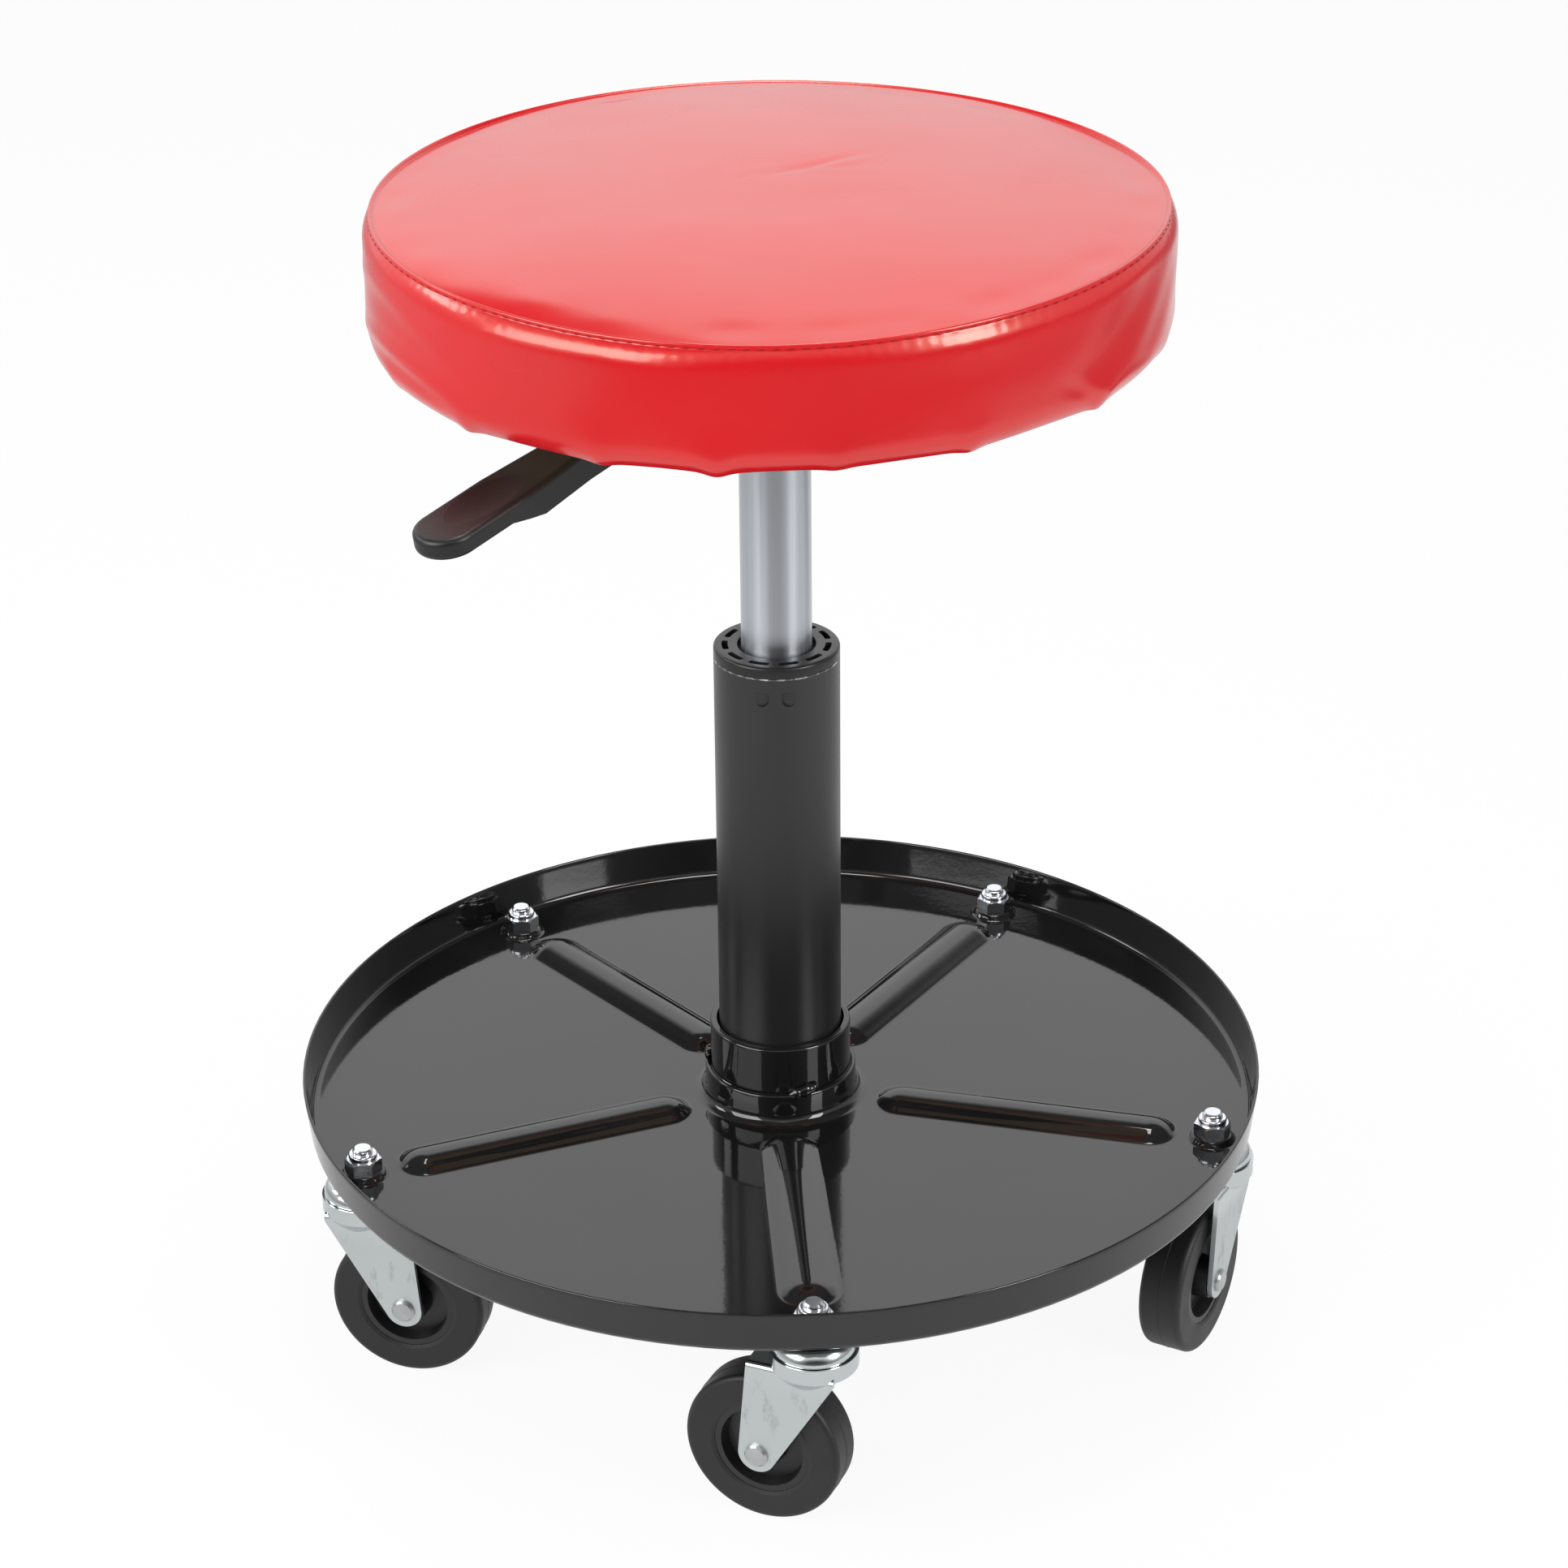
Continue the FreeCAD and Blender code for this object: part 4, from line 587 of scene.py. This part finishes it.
def top_point(share, angle):
    """The panel: a shallow dome that falls away to the seam, most of all left of the front."""
    panel = seam_radius(angle) - PANEL_INSET
    radius = share * panel
    x, y = radius * math.cos(angle), radius * math.sin(angle)
    sunk = sum(around(angle, heading, width) for heading, width in WELTS)
    fall = FALL * around(angle, FALL_AT, FALL_WIDTH)
    edge = seam_height(angle) - PANEL_DROP - WELT_RISE * sunk + fall
    height = edge + (CROWN_Z - edge) * (1.0 - share**DOME_POWER)
    height -= fall * max(0.0, 1.0 - (panel - radius) / FALL_REACH) ** 2
    height -= HOLLOW * (1.0 + wave(angle, HOLLOW_RIPPLE)) * bell(radius, HOLLOW_AT, HOLLOW_WIDTH)
    soft = 1.0 - between(radius, *WAVES_END)
    for size, length, layer in PANEL_WAVES:
        height += size * soft * noise.noise(Vector((x / length, y / length, layer)))
    height -= tuck_depth(Vector((x, y)) - PUCKER)
    return Vector((x, y, min(height, CROWN_Z + CROWN_SLACK)))


def strip_point(out, drop, angle):
    """The strip below the seam, drawn in by each stitch."""
    groove = GROOVE * bell(drop, STITCH_DROP, GROOVE_WIDTH) * stitch_pull(angle)
    return polar(seam_radius(angle) + out - groove, angle, seam_height(angle) - drop)


def band_push(angle, z, share):
    """How far folds, pulls and gathers move the band outward."""
    degrees = math.degrees(angle)
    push = 0.0
    for heading, top, fall, width, depth in SWEEPS:
        off = turned(degrees, heading)
        level = z - (top - fall * off * off)
        under = UNDER_DEPTH * bell(level, -UNDER_DROP * width, UNDER_WIDTH * width)
        push += depth * bell(off, 0.0, SWEEP_REACH) * (bell(level, 0.0, width) - under)
    for heading, height, lean, width, reach, depth in PULLS:
        off = turned(degrees, heading) - (z - height) * lean
        ridge = RIDGE * bell(off, RIDGE_OUT * width, width)
        push += depth * bell(z, height, reach) * (ridge - bell(off, 0.0, width))
    for heading, depth in KNEES:
        gather = around(angle, heading, GATHER_WIDTH + GATHER_SPREAD * (1.0 - share))
        push += GATHER * depth * gather * between(share, GATHER_START, 1.0)
    return push * between(share, *FADE_IN)


def band_point(share, angle):
    """The side band, rounded below the strip and turned in at the hem."""
    out, drop = STRIP[-1]
    start, hem = seam_height(angle) - drop, hem_height(angle)
    z = start + (hem - start) * share
    depth = BAND_ROUND + BAND_ROUND_MORE * around(angle, PULLED_AT, PULLED_WIDTH)
    rounding = max(0.0, 1.0 - (start - z) / depth) ** ROUND_POWER
    r = BAND_RADIUS - (BAND_RADIUS - seam_radius(angle) - out) * rounding
    r -= HEM_IN * max(0.0, (share - HEM_START) / (1.0 - HEM_START)) ** HEM_POWER
    r += band_push(angle, z, share)
    for size, middle, reach, scale, length in BAND_UNEVEN:
        r += size * bell(share, middle, reach) * noise.noise(polar(scale, angle, z / length))
    r -= DIMPLE * stitch_pull(angle) * bell(share, DIMPLE_AT, DIMPLE_REACH)
    return polar(r, angle, z)


def tuck_point(radius, share, angle):
    return polar(radius, angle, BOARD_Z + (hem_height(angle) - BOARD_Z) * share)


def seat_cushion():
    """Rings of points from the middle of the top over seam, band and tuck to the inside of the board."""
    verts, faces = [(top_point(0.0, 0.0) + COVER_SHIFT) * MM], []
    rings = [[0] * AROUND]
    angles = [math.tau * i / AROUND for i in range(AROUND)]

    def add_ring(points):
        start = len(verts)
        verts.extend((point + COVER_SHIFT) * MM for point in points)
        rings.append(list(range(start, start + AROUND)))

    for k in range(1, TOP_RINGS + 1):
        share = 1.0 - (1.0 - k / TOP_RINGS) ** 2
        add_ring(top_point(share, angle) for angle in angles)
    for out, drop in STRIP:
        add_ring(strip_point(out, drop, angle) for angle in angles)
    for k in range(1, BAND_RINGS + 1):
        share = 0.5 - 0.5 * math.cos(math.pi * k / BAND_RINGS)
        add_ring(band_point(share, angle) for angle in angles)
    for radius, share in TUCK:
        add_ring(tuck_point(radius, share, angle) for angle in angles)
    inner_radius, closed_z = TUCK[-1][0] - CLOSE_IN, BOARD_Z + CLOSE_UP
    add_ring(polar(inner_radius, angle, closed_z) for angle in angles)
    verts.append(Vector((0, 0, closed_z)) * MM)
    rings.append([len(verts) - 1] * AROUND)
    for inner, outer in zip(rings, rings[1:]):
        for i in range(AROUND):
            j = (i + 1) % AROUND
            corners = [inner[i], outer[i], outer[j], inner[j]]
            faces.append(tuple(dict.fromkeys(corners)))
    cushion = add_object("seat_cushion", verts, faces, VINYL, "seat")
    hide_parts("seat_cover", "seat_foam")


def stitch_row():
    """One row of top stitching below the seam, each stitch a short bent thread lying in its groove."""
    sides, steps = 6, 6
    half = 0.36 * math.tau / STITCHES
    # radius of the thread, and the share of it that is left at the ends
    thread_radius, thin_end = 0.36, 0.45
    sunk, bow_out, slant = 0.25, 0.2, 0.15
    verts, faces = [], []
    for n in range(STITCHES):
        middle = math.tau * (n + 0.5) / STITCHES
        base = len(verts)
        for k in range(steps + 1):
            share = k / steps
            along = 2 * share - 1
            angle = middle + half * along
            bow = math.sin(math.pi * share)
            thick = thread_radius * (thin_end + (1.0 - thin_end) * bow)
            radius = seam_radius(angle) + STITCH_OUT - sunk + bow_out * bow
            height = seam_height(angle) - STITCH_DROP + slant * along
            for q in range(sides):
                turn = math.tau * q / sides
                point = polar(radius + thick * math.cos(turn), angle, height + thick * math.sin(turn))
                verts.append((point + COVER_SHIFT) * MM)
        faces += tube_faces(base, steps, sides)
    add_object("seat_stitches", verts, faces, THREAD, "seat")


def staple_row():
    """Flat wire staples that hold the tucked edge to the board, not quite evenly spaced."""
    count, radius = 40, 134.0
    wander, wander_beat = 0.3, 7.0
    half_length, width, thick = 5.0, 1.2, 0.5
    leg, corner, crown = 1.2, 0.4, 0.5
    # middle of the wire from one leg over the crown to the other: place along the staple, height in the board
    path = [(-half_length, leg), (-half_length, -crown / 2), (-half_length + corner, -crown)]
    path += [(-along, z) for along, z in reversed(path)]
    steps = len(path) - 1
    corners = ((1, -1), (1, 1), (-1, 1), (-1, -1))
    verts, faces = [], []
    for n in range(count):
        angle = math.tau * (n + wander * math.sin(wander_beat * n)) / count
        out, across = polar(1.0, angle, 0.0), polar(1.0, angle + math.pi / 2, 0.0)
        base = len(verts)
        for k, (along, z) in enumerate(path):
            before, after = Vector(path[max(k - 1, 0)]), Vector(path[min(k + 1, steps)])
            run = (after - before).normalized()
            side = Vector((-run.y, run.x)) * thick / 2
            for q, w in corners:
                place = out * (radius + w * width / 2) + across * (along + q * side.x)
                verts.append((place + Vector((0, 0, BOARD_Z + z + q * side.y))) * MM)
        faces += tube_faces(base, steps, len(corners))
    add_object("seat_staples", verts, faces, BRIGHT, "seat", smooth=False)


# Tool tray: one pressed sheet, drawn finer than its solid's facets
HUB_RADIUS, FLANGE_RADIUS, FLANGE_TOP, FLANGE_BEND = 28.86, 31.0, 98.6, 5.0
SHEET, FLOOR_Z, WALL_RADIUS, CORNER = 1.2, 85.4, 195.0, 2.6
RIM_RADIUS, RIM_Z = 196.6, 102.7
RIB_START, RIB_END, RIB_WIDTH, RIB_RISE, RIB_FOOT = 41.0, 165.0, 22.0, 4.6, 3.0
PAD_PLACE, PAD_RADIUS, PAD_RISE, PAD_EDGE = 180.0, 8.7, 2.2, 0.6
# Columns of points over each rib, out to a distance from its spine, and over the field to the next rib
SECTORS, RIB_COLUMNS, RIB_REACH, FIELD_COLUMNS = 5, 36, 15.0, 24
WALL_STEPS = 8
# Tack welds between hub and flange: directions and half length in degrees, thickness, flatness and place
WELDS, WELD_REACH, WELD_THICK, WELD_FLAT = (-75, 45, 165), 13, 2.7, 0.75
WELD_OUT, WELD_UP, WELD_SLOPE, WELD_TIP = 0.9, 0.6, 1.2, 0.05
# Unevenness of the welds along the bead, and of their skin
SWELL, SWELL_BEAT, LUMP, LUMP_BEAT = 0.12, 9.0, 0.16, 3.0


def rib_height(off):
    """Height of a rib at a distance from its spine: a round back with a rounded foot."""
    back = (RIB_WIDTH**2 / 4 + RIB_RISE**2) / (2 * RIB_RISE)
    foot_at = math.sqrt((back + RIB_FOOT) ** 2 - (RIB_FOOT + back - RIB_RISE) ** 2)
    if off < foot_at * back / (back + RIB_FOOT):
        return RIB_RISE - back + math.sqrt(back**2 - off**2)
    if off < foot_at:
        return RIB_FOOT - math.sqrt(RIB_FOOT**2 - (foot_at - off) ** 2)
    return 0.0


def pressed_height(along, across):
    """Ribs and nut pads pressed up from the floor, in the frame of one rib."""
    near, far = RIB_START + RIB_WIDTH / 2, RIB_END - RIB_WIDTH / 2
    past_end = max(near - along, 0.0, along - far)
    pad = math.hypot(along - PAD_PLACE, across)
    raised = PAD_RISE * (1.0 - between(pad, PAD_RADIUS - PAD_EDGE, PAD_RADIUS + PAD_EDGE))
    return rib_height(math.hypot(past_end, across)) + raised


def spaced(start, end, count):
    return [start + (end - start) * k / count for k in range(count)]


def bend(middle, radius, start, end, count=7):
    """Points of a bend in a section, angles in degrees."""
    turns = [math.radians(start + (end - start) * k / (count - 1)) for k in range(count)]
    return [(middle[0] + radius * math.cos(t), middle[1] + radius * math.sin(t)) for t in turns]


def floor_radii(foot, heel):
    """Radii of the rings over the floor, close together over the ends of the ribs and over the pads."""
    starts = [(foot, 3), (RIB_START - 2, 18), (54, 12), (152, 18), (RIB_END + 2, 3), (170, 30)]
    ends = [start for start, count in starts[1:]] + [heel]
    radii = []
    for (start, count), end in zip(starts, ends):
        radii += spaced(start, end, count)
    return radii + [heel]


def tray_section():
    """The sheet's closed section: radius, height and whether it is the pressed floor."""
    inner_wall, under = WALL_RADIUS - SHEET, FLOOR_Z - SHEET
    foot = FLANGE_RADIUS + FLANGE_BEND
    heel = inner_wall - CORNER
    floor = floor_radii(foot, heel)
    lip = (FLANGE_RADIUS - HUB_RADIUS) / 2
    corner_mid = (heel, FLOOR_Z + CORNER)
    bent_foot = (foot, FLOOR_Z + FLANGE_BEND)
    edge = SHEET / 2
    rim_mid = (RIM_RADIUS - edge, RIM_Z - edge)
    wall_x = spaced(inner_wall, RIM_RADIUS - SHEET, WALL_STEPS)
    wall_z = spaced(corner_mid[1], rim_mid[1], WALL_STEPS)
    inside = list(zip(wall_x, wall_z))[1:]
    section = [(HUB_RADIUS, FLOOR_Z + FLANGE_BEND)]
    section += bend((HUB_RADIUS + lip, FLANGE_TOP - lip), lip, 180, 0)
    section += bend(bent_foot, FLANGE_BEND, 180, 265)
    top_start = len(section)
    section += [(r, FLOOR_Z) for r in floor]
    section += bend(corner_mid, CORNER, -80, 0)
    top_end = len(section)
    section += inside + bend(rim_mid, edge, 180, 0)
    section += [(r + SHEET, z) for r, z in reversed(inside)]
    under_start = len(section)
    section += bend(corner_mid, CORNER + SHEET, 0, -80, 9)
    section += [(r, under) for r in reversed(floor)]
    under_end = len(section)
    section += bend(bent_foot, FLANGE_BEND + SHEET, 265, 200)
    pressed = set(range(top_start, top_end)) | set(range(under_start, under_end))
    return [(r, z, i in pressed) for i, (r, z) in enumerate(section)]


def tool_tray():
    """Columns run along each rib, then spread evenly over the field to the next rib."""
    half_sector = math.pi / SECTORS
    places = [k / (RIB_COLUMNS / 2) for k in range(-RIB_COLUMNS // 2, RIB_COLUMNS // 2)]
    section = tray_section()
    verts = []
    for r, z, pressed in section:
        rib_edge = math.asin(RIB_REACH / r)
        turns = [math.asin(RIB_REACH * place / r) for place in places]
        turns += spaced(rib_edge, 2 * half_sector - rib_edge, FIELD_COLUMNS)
        for sector in range(SECTORS):
            heading = -math.pi / 2 + 2 * half_sector * sector
            for turn in turns:
                off = (turn + half_sector) % (2 * half_sector) - half_sector
                lift = pressed_height(r * math.cos(off), r * math.sin(off)) if pressed else 0.0
                verts.append(polar(r, heading + turn, z + lift) * MM)
    faces = ring_faces(len(section), SECTORS * (RIB_COLUMNS + FIELD_COLUMNS))
    tray = add_object("tray_sheet", verts, faces, PAINT, "base")
    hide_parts("tool_tray")


def hub_welds():
    """Short painted beads where the hub is tacked to the tray's flange, uneven along their length."""
    sides, steps = 14, 40
    radius, middle = HUB_RADIUS + WELD_OUT, FLANGE_TOP + WELD_UP
    verts, faces = [], []
    for heading in WELDS:
        base = len(verts)
        for k in range(steps + 1):
            along = 2 * k / steps - 1
            angle = math.radians(heading + WELD_REACH * along)
            swell = 1.0 + SWELL * math.sin(SWELL_BEAT * along + heading)
            thick = WELD_TIP + WELD_THICK * swell * math.sqrt(max(0.0, 1.0 - along**2))
            for q in range(sides):
                turn = math.tau * q / sides
                skin = Vector((heading + LUMP_BEAT * along, math.cos(turn), math.sin(turn)))
                lumpy = thick * (1.0 + LUMP * noise.noise(skin))
                r = radius + WELD_FLAT * lumpy * math.cos(turn)
                z = middle + WELD_SLOPE * along + lumpy * math.sin(turn)
                verts.append(polar(r, angle, z) * MM)
        faces += tube_faces(base, steps, sides)
    add_object("hub_welds", verts, faces, PAINT, "base")


# Guide bush in the mouth of the column, with the number and length of slots that the photograph shows
BUSH_TOP, BUSH_FOOT, TUBE_TOP, BUSH_ROUND, BUSH_CHAMFER = 287.0, 202.0, 282.3, 1.2, 0.25
BUSH_RADIUS, SLEEVE_RADIUS, BORE_RADIUS = 25.0, 22.95, 14.05
MOUTH_RADIUS, MOUTH_DEPTH, MOUTH_ROUND = 15.5, 4.0, 0.4
SLOTS, SLOT_AT, SLOT_RADIUS, SLOT_WIDTH, SLOT_SPAN, SLOT_DEPTH = 11, -81, 20.5, 2.3, 23.0, 2.6
SLOT_DRAFT, SHARP_ANGLE = 0.06, 38


def bush_section():
    """The bush's closed section as radius and height, outside first, with close rings over the slots."""
    across = [1.3, 1.07, 0.93, 0.6, 0.0, -0.6, -0.93, -1.07, -1.3]
    section = [(SLEEVE_RADIUS, BUSH_FOOT), (SLEEVE_RADIUS, TUBE_TOP)]
    section += [(BUSH_RADIUS - BUSH_CHAMFER, TUBE_TOP), (BUSH_RADIUS, TUBE_TOP + BUSH_CHAMFER)]
    section += bend((BUSH_RADIUS - BUSH_ROUND, BUSH_TOP - BUSH_ROUND), BUSH_ROUND, 0, 90, 6)
    section += [(SLOT_RADIUS + share * SLOT_WIDTH / 2, BUSH_TOP) for share in across]
    section += bend((MOUTH_RADIUS + MOUTH_ROUND, BUSH_TOP - MOUTH_ROUND), MOUTH_ROUND, 90, 180, 4)
    section += [(MOUTH_RADIUS, BUSH_TOP - MOUTH_DEPTH), (BORE_RADIUS, BUSH_TOP - MOUTH_DEPTH)]
    return section + [(BORE_RADIUS, BUSH_FOOT)]


def slot_depth(radius, off):
    """Depth of the slots at a radius and at an angle in degrees from the middle of a slot."""
    half = SLOT_WIDTH / 2
    straight = SLOT_SPAN / 2 - math.degrees(half / SLOT_RADIUS)
    past_end = math.radians(max(0.0, abs(off) - straight)) * radius
    away = math.hypot(past_end, radius - SLOT_RADIUS)
    return SLOT_DEPTH * (1.0 - between(away, half - SLOT_DRAFT, half + SLOT_DRAFT))


def guide_bush():
    """Columns stand close together at the ends of each slot, with one between two slots."""
    sector, end = 360 / SLOTS, SLOT_SPAN / 2
    half_offs = [0.0, 3.0, 6.0] + [end + step for step in (-2.6, -1.9, -1.2, -0.6, -0.2, 0.2, 2.2)]
    offs = [-off for off in reversed(half_offs[1:])] + half_offs + [sector / 2]
    section = bush_section()
    verts = []
    for radius, z in section:
        for slot in range(SLOTS):
            for off in offs:
                depth = slot_depth(radius, off) if z == BUSH_TOP else 0.0
                verts.append(polar(radius, math.radians(SLOT_AT + sector * slot + off), z - depth) * MM)
    faces = flipped(ring_faces(len(section), SLOTS * len(offs)))
    bush = add_object("column_bush", verts, faces, BUSH, "base")
    bush.data.set_sharp_from_angle(angle=math.radians(SHARP_ANGLE))
    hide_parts("guide_bush")


# Small pieces on the casters: thread ends above the nuts and the parting line around each tyre
CASTERS = range(1, 6)


def joint(name):
    return next(j for j in frame["joints"] if j["name"] == name)


def stud_threads():
    """The last turns of thread on each stud above its nut, running out at both ends."""
    pitch, crest, root, per_turn = 1.25, 4.16, 3.9, 36
    low, high = 94.6, 97.1
    flank, run_out = 0.45 * pitch, 0.25
    steps = round((high - low) / pitch * per_turn)
    verts, faces = [], []
    for number in CASTERS:
        stud = Vector(joint(f"caster_swivel_{number}")["pos_m"][:2]).to_3d()
        base = len(verts)
        for k in range(steps + 1):
            angle = math.tau * k / per_turn
            middle = low + pitch * k / per_turn
            fade = min(1.0, k / steps / run_out, (steps - k) / steps / run_out)
            tip = root + (crest - root) * fade
            for r, z in ((root, middle - flank), (tip, middle), (root, middle + flank)):
                verts.append(stud + polar(r, angle, z) * MM)
        faces += flipped(tube_faces(base, steps, 3))
    add_object("stud_threads", verts, faces, BRIGHT, "base")


def tyre_lines():
    """The fine ridge that the mould leaves around each tread."""
    steps, radius = 120, 31.75
    sunk, rise, half_width = 0.06, 0.14, 0.4
    section = [(radius - sunk, -half_width), (radius + rise, 0.0), (radius - sunk, half_width)]
    up = Vector((0, 0, 1))
    for number in CASTERS:
        spin = joint(f"wheel_spin_{number}")
        middle, axle = Vector(spin["pos_m"]), Vector(spin["axis"]).normalized()
        ahead = axle.cross(up)
        verts = []
        for k in range(steps):
            angle = math.tau * k / steps
            out = ahead * math.cos(angle) + up * math.sin(angle)
            verts.extend(middle + (out * r + axle * across) * MM for r, across in section)
        faces = flipped(ring_faces(steps, len(section)))
        add_object(f"tyre_line_{number}", verts, faces, TYRE, f"wheel_{number}")


seat_cushion()
stitch_row()
staple_row()
tool_tray()
hub_welds()
guide_bush()
stud_threads()
tyre_lines()


# Camera where the photograph was taken: angles in radians, place in metres
def place_camera():
    yaw, pitch, roll = 0.0612, 0.4563, -0.0107
    place = (-0.0918, -1.4463, 0.93646)
    forward = Vector((math.sin(yaw) * math.cos(pitch), math.cos(yaw) * math.cos(pitch), -math.sin(pitch)))
    level = forward.cross(Vector((0, 0, 1))).normalized()
    upright = level.cross(forward)
    right = level * math.cos(roll) + upright * math.sin(roll)
    up = upright * math.cos(roll) - level * math.sin(roll)
    data = bpy.data.cameras.new("camera")
    data.sensor_width = 36.0
    data.lens = 92.65
    data.shift_x = 0.0089
    data.clip_start, data.clip_end = 0.05, 60.0
    camera = bpy.data.objects.new("camera", data)
    turn = Matrix((right, up, -forward)).transposed().to_4x4()
    camera.matrix_world = Matrix.Translation(place) @ turn
    bpy.context.scene.collection.objects.link(camera)
    bpy.context.scene.camera = camera


# White studio: a pale table and wall, soft boxes left, right and above, and a darker room behind the camera
def studio_floor():
    reach = 8.0
    gap_place, white_share = (0.9, 0.38, 0.0), 0.93
    mesh = bpy.data.meshes.new("floor")
    corners = [(-reach, -reach, 0), (reach, -reach, 0), (reach, reach, 0), (-reach, reach, 0)]
    mesh.from_pydata(corners, [], [(0, 1, 2, 3)])
    floor = bpy.data.objects.new("floor", mesh)
    bpy.context.scene.collection.objects.link(floor)
    s = Shader("floor")
    s.set(Base_Color=(0.92, 0.92, 0.92, 1), Roughness=0.9, Specular_IOR_Level=0.0)
    camera_ray, mirror_ray = s.rays()
    # in mirrors the table darkens towards the camera and at its ends, with a dark gap at the right
    depth = s.ranged(s.axis("Y"), 0.06, 0.85, -1.03, -0.62)
    left_end = s.ranged(s.axis("X"), 0.5, 1.0, -0.85, -0.2)
    right_end = s.ranged(s.axis("X"), 1.0, 0.2, 0.85, 1.35)
    from_gap = s.add("ShaderNodeVectorMath", operation="DISTANCE")
    s.put(from_gap.inputs[0], s.place)
    s.put(from_gap.inputs[1], gap_place)
    gap = s.ranged(from_gap.outputs["Value"], 0.08, 1.0, 0.12, 0.3)
    table = s.product(depth, left_end, right_end, gap)
    white = s.add("ShaderNodeEmission")
    s.put(white.inputs["Strength"], s.maths("MAXIMUM", camera_ray, table))
    mix = s.add("ShaderNodeMixShader")
    s.put(mix.inputs["Fac"], s.product(s.maths("MAXIMUM", camera_ray, mirror_ray), white_share))
    s.put(mix.inputs[1], s.surface.outputs["BSDF"])
    s.put(mix.inputs[2], white.outputs["Emission"])
    # nothing hides the object from below
    sided = s.add("ShaderNodeMixShader")
    s.put(sided.inputs["Fac"], s.add("ShaderNodeNewGeometry").outputs["Backfacing"])
    s.put(sided.inputs[1], mix.outputs["Shader"])
    s.put(sided.inputs[2], s.add("ShaderNodeBsdfTransparent").outputs["BSDF"])
    s.put(s.tree.nodes["Material Output"].inputs["Surface"], sided.outputs["Shader"])
    mesh.materials.append(s.material)


def studio_world():
    """White to the camera, even light on the object, and a shaded room in mirrors."""
    even_light, slope = 0.42, 0.35
    world = bpy.data.worlds.new("studio")
    bpy.context.scene.world = world
    world.use_nodes = True
    s = Nodes(world.node_tree, "Generated")
    camera_ray, mirror_ray = s.rays()
    sideways = s.maths("ABSOLUTE", s.axis("X"))
    overhead = s.ranged(s.axis("Z"), 0.8, 1.7, 0.0, 0.8)
    steep = s.maths("ADD", s.axis("Z"), s.product(sideways, slope))
    ceiling = s.ranged(steep, 1.0, 0.1, 0.73, 0.85)
    sides = s.ranged(sideways, 1.0, 0.55, 0.55, 0.9)
    behind_camera = s.ranged(s.axis("Y"), 0.06, 1.0, -0.92, -0.6)
    shown = s.product(overhead, ceiling, sides, behind_camera)
    added = s.product(mirror_ray, s.maths("SUBTRACT", shown, even_light))
    background = s.tree.nodes["Background"]
    background.inputs["Color"].default_value = (1, 1, 1, 1)
    s.put(background.inputs["Strength"], s.maths("MAXIMUM", camera_ray, s.maths("ADD", added, even_light)))


def soft_box(name, place, aim, width, height, power):
    data = bpy.data.lights.new(name, "AREA")
    data.shape = "RECTANGLE"
    data.size, data.size_y = width, height
    data.energy = power
    lamp = bpy.data.objects.new(name, data)
    lamp.location = place
    lamp.rotation_euler = (Vector(aim) - Vector(place)).to_track_quat("-Z", "Y").to_euler()
    bpy.context.scene.collection.objects.link(lamp)


place_camera()
studio_floor()
studio_world()
soft_box("key", (-1.55, -0.97, 1.15), (0, 0, 0.35), 1.5, 1.0, 27)
soft_box("fill", (1.4, -1.17, 1.1), (0, 0, 0.35), 0.6, 0.95, 17)
soft_box("rim", (-2.0, 0.55, 1.35), (0, 0, 0.4), 0.6, 0.5, 6)
soft_box("top", (0.1, 0.4, 2.3), (0, 0, 0.3), 0.8, 0.7, 16.5)
bpy.context.scene.view_settings.view_transform = "Standard"
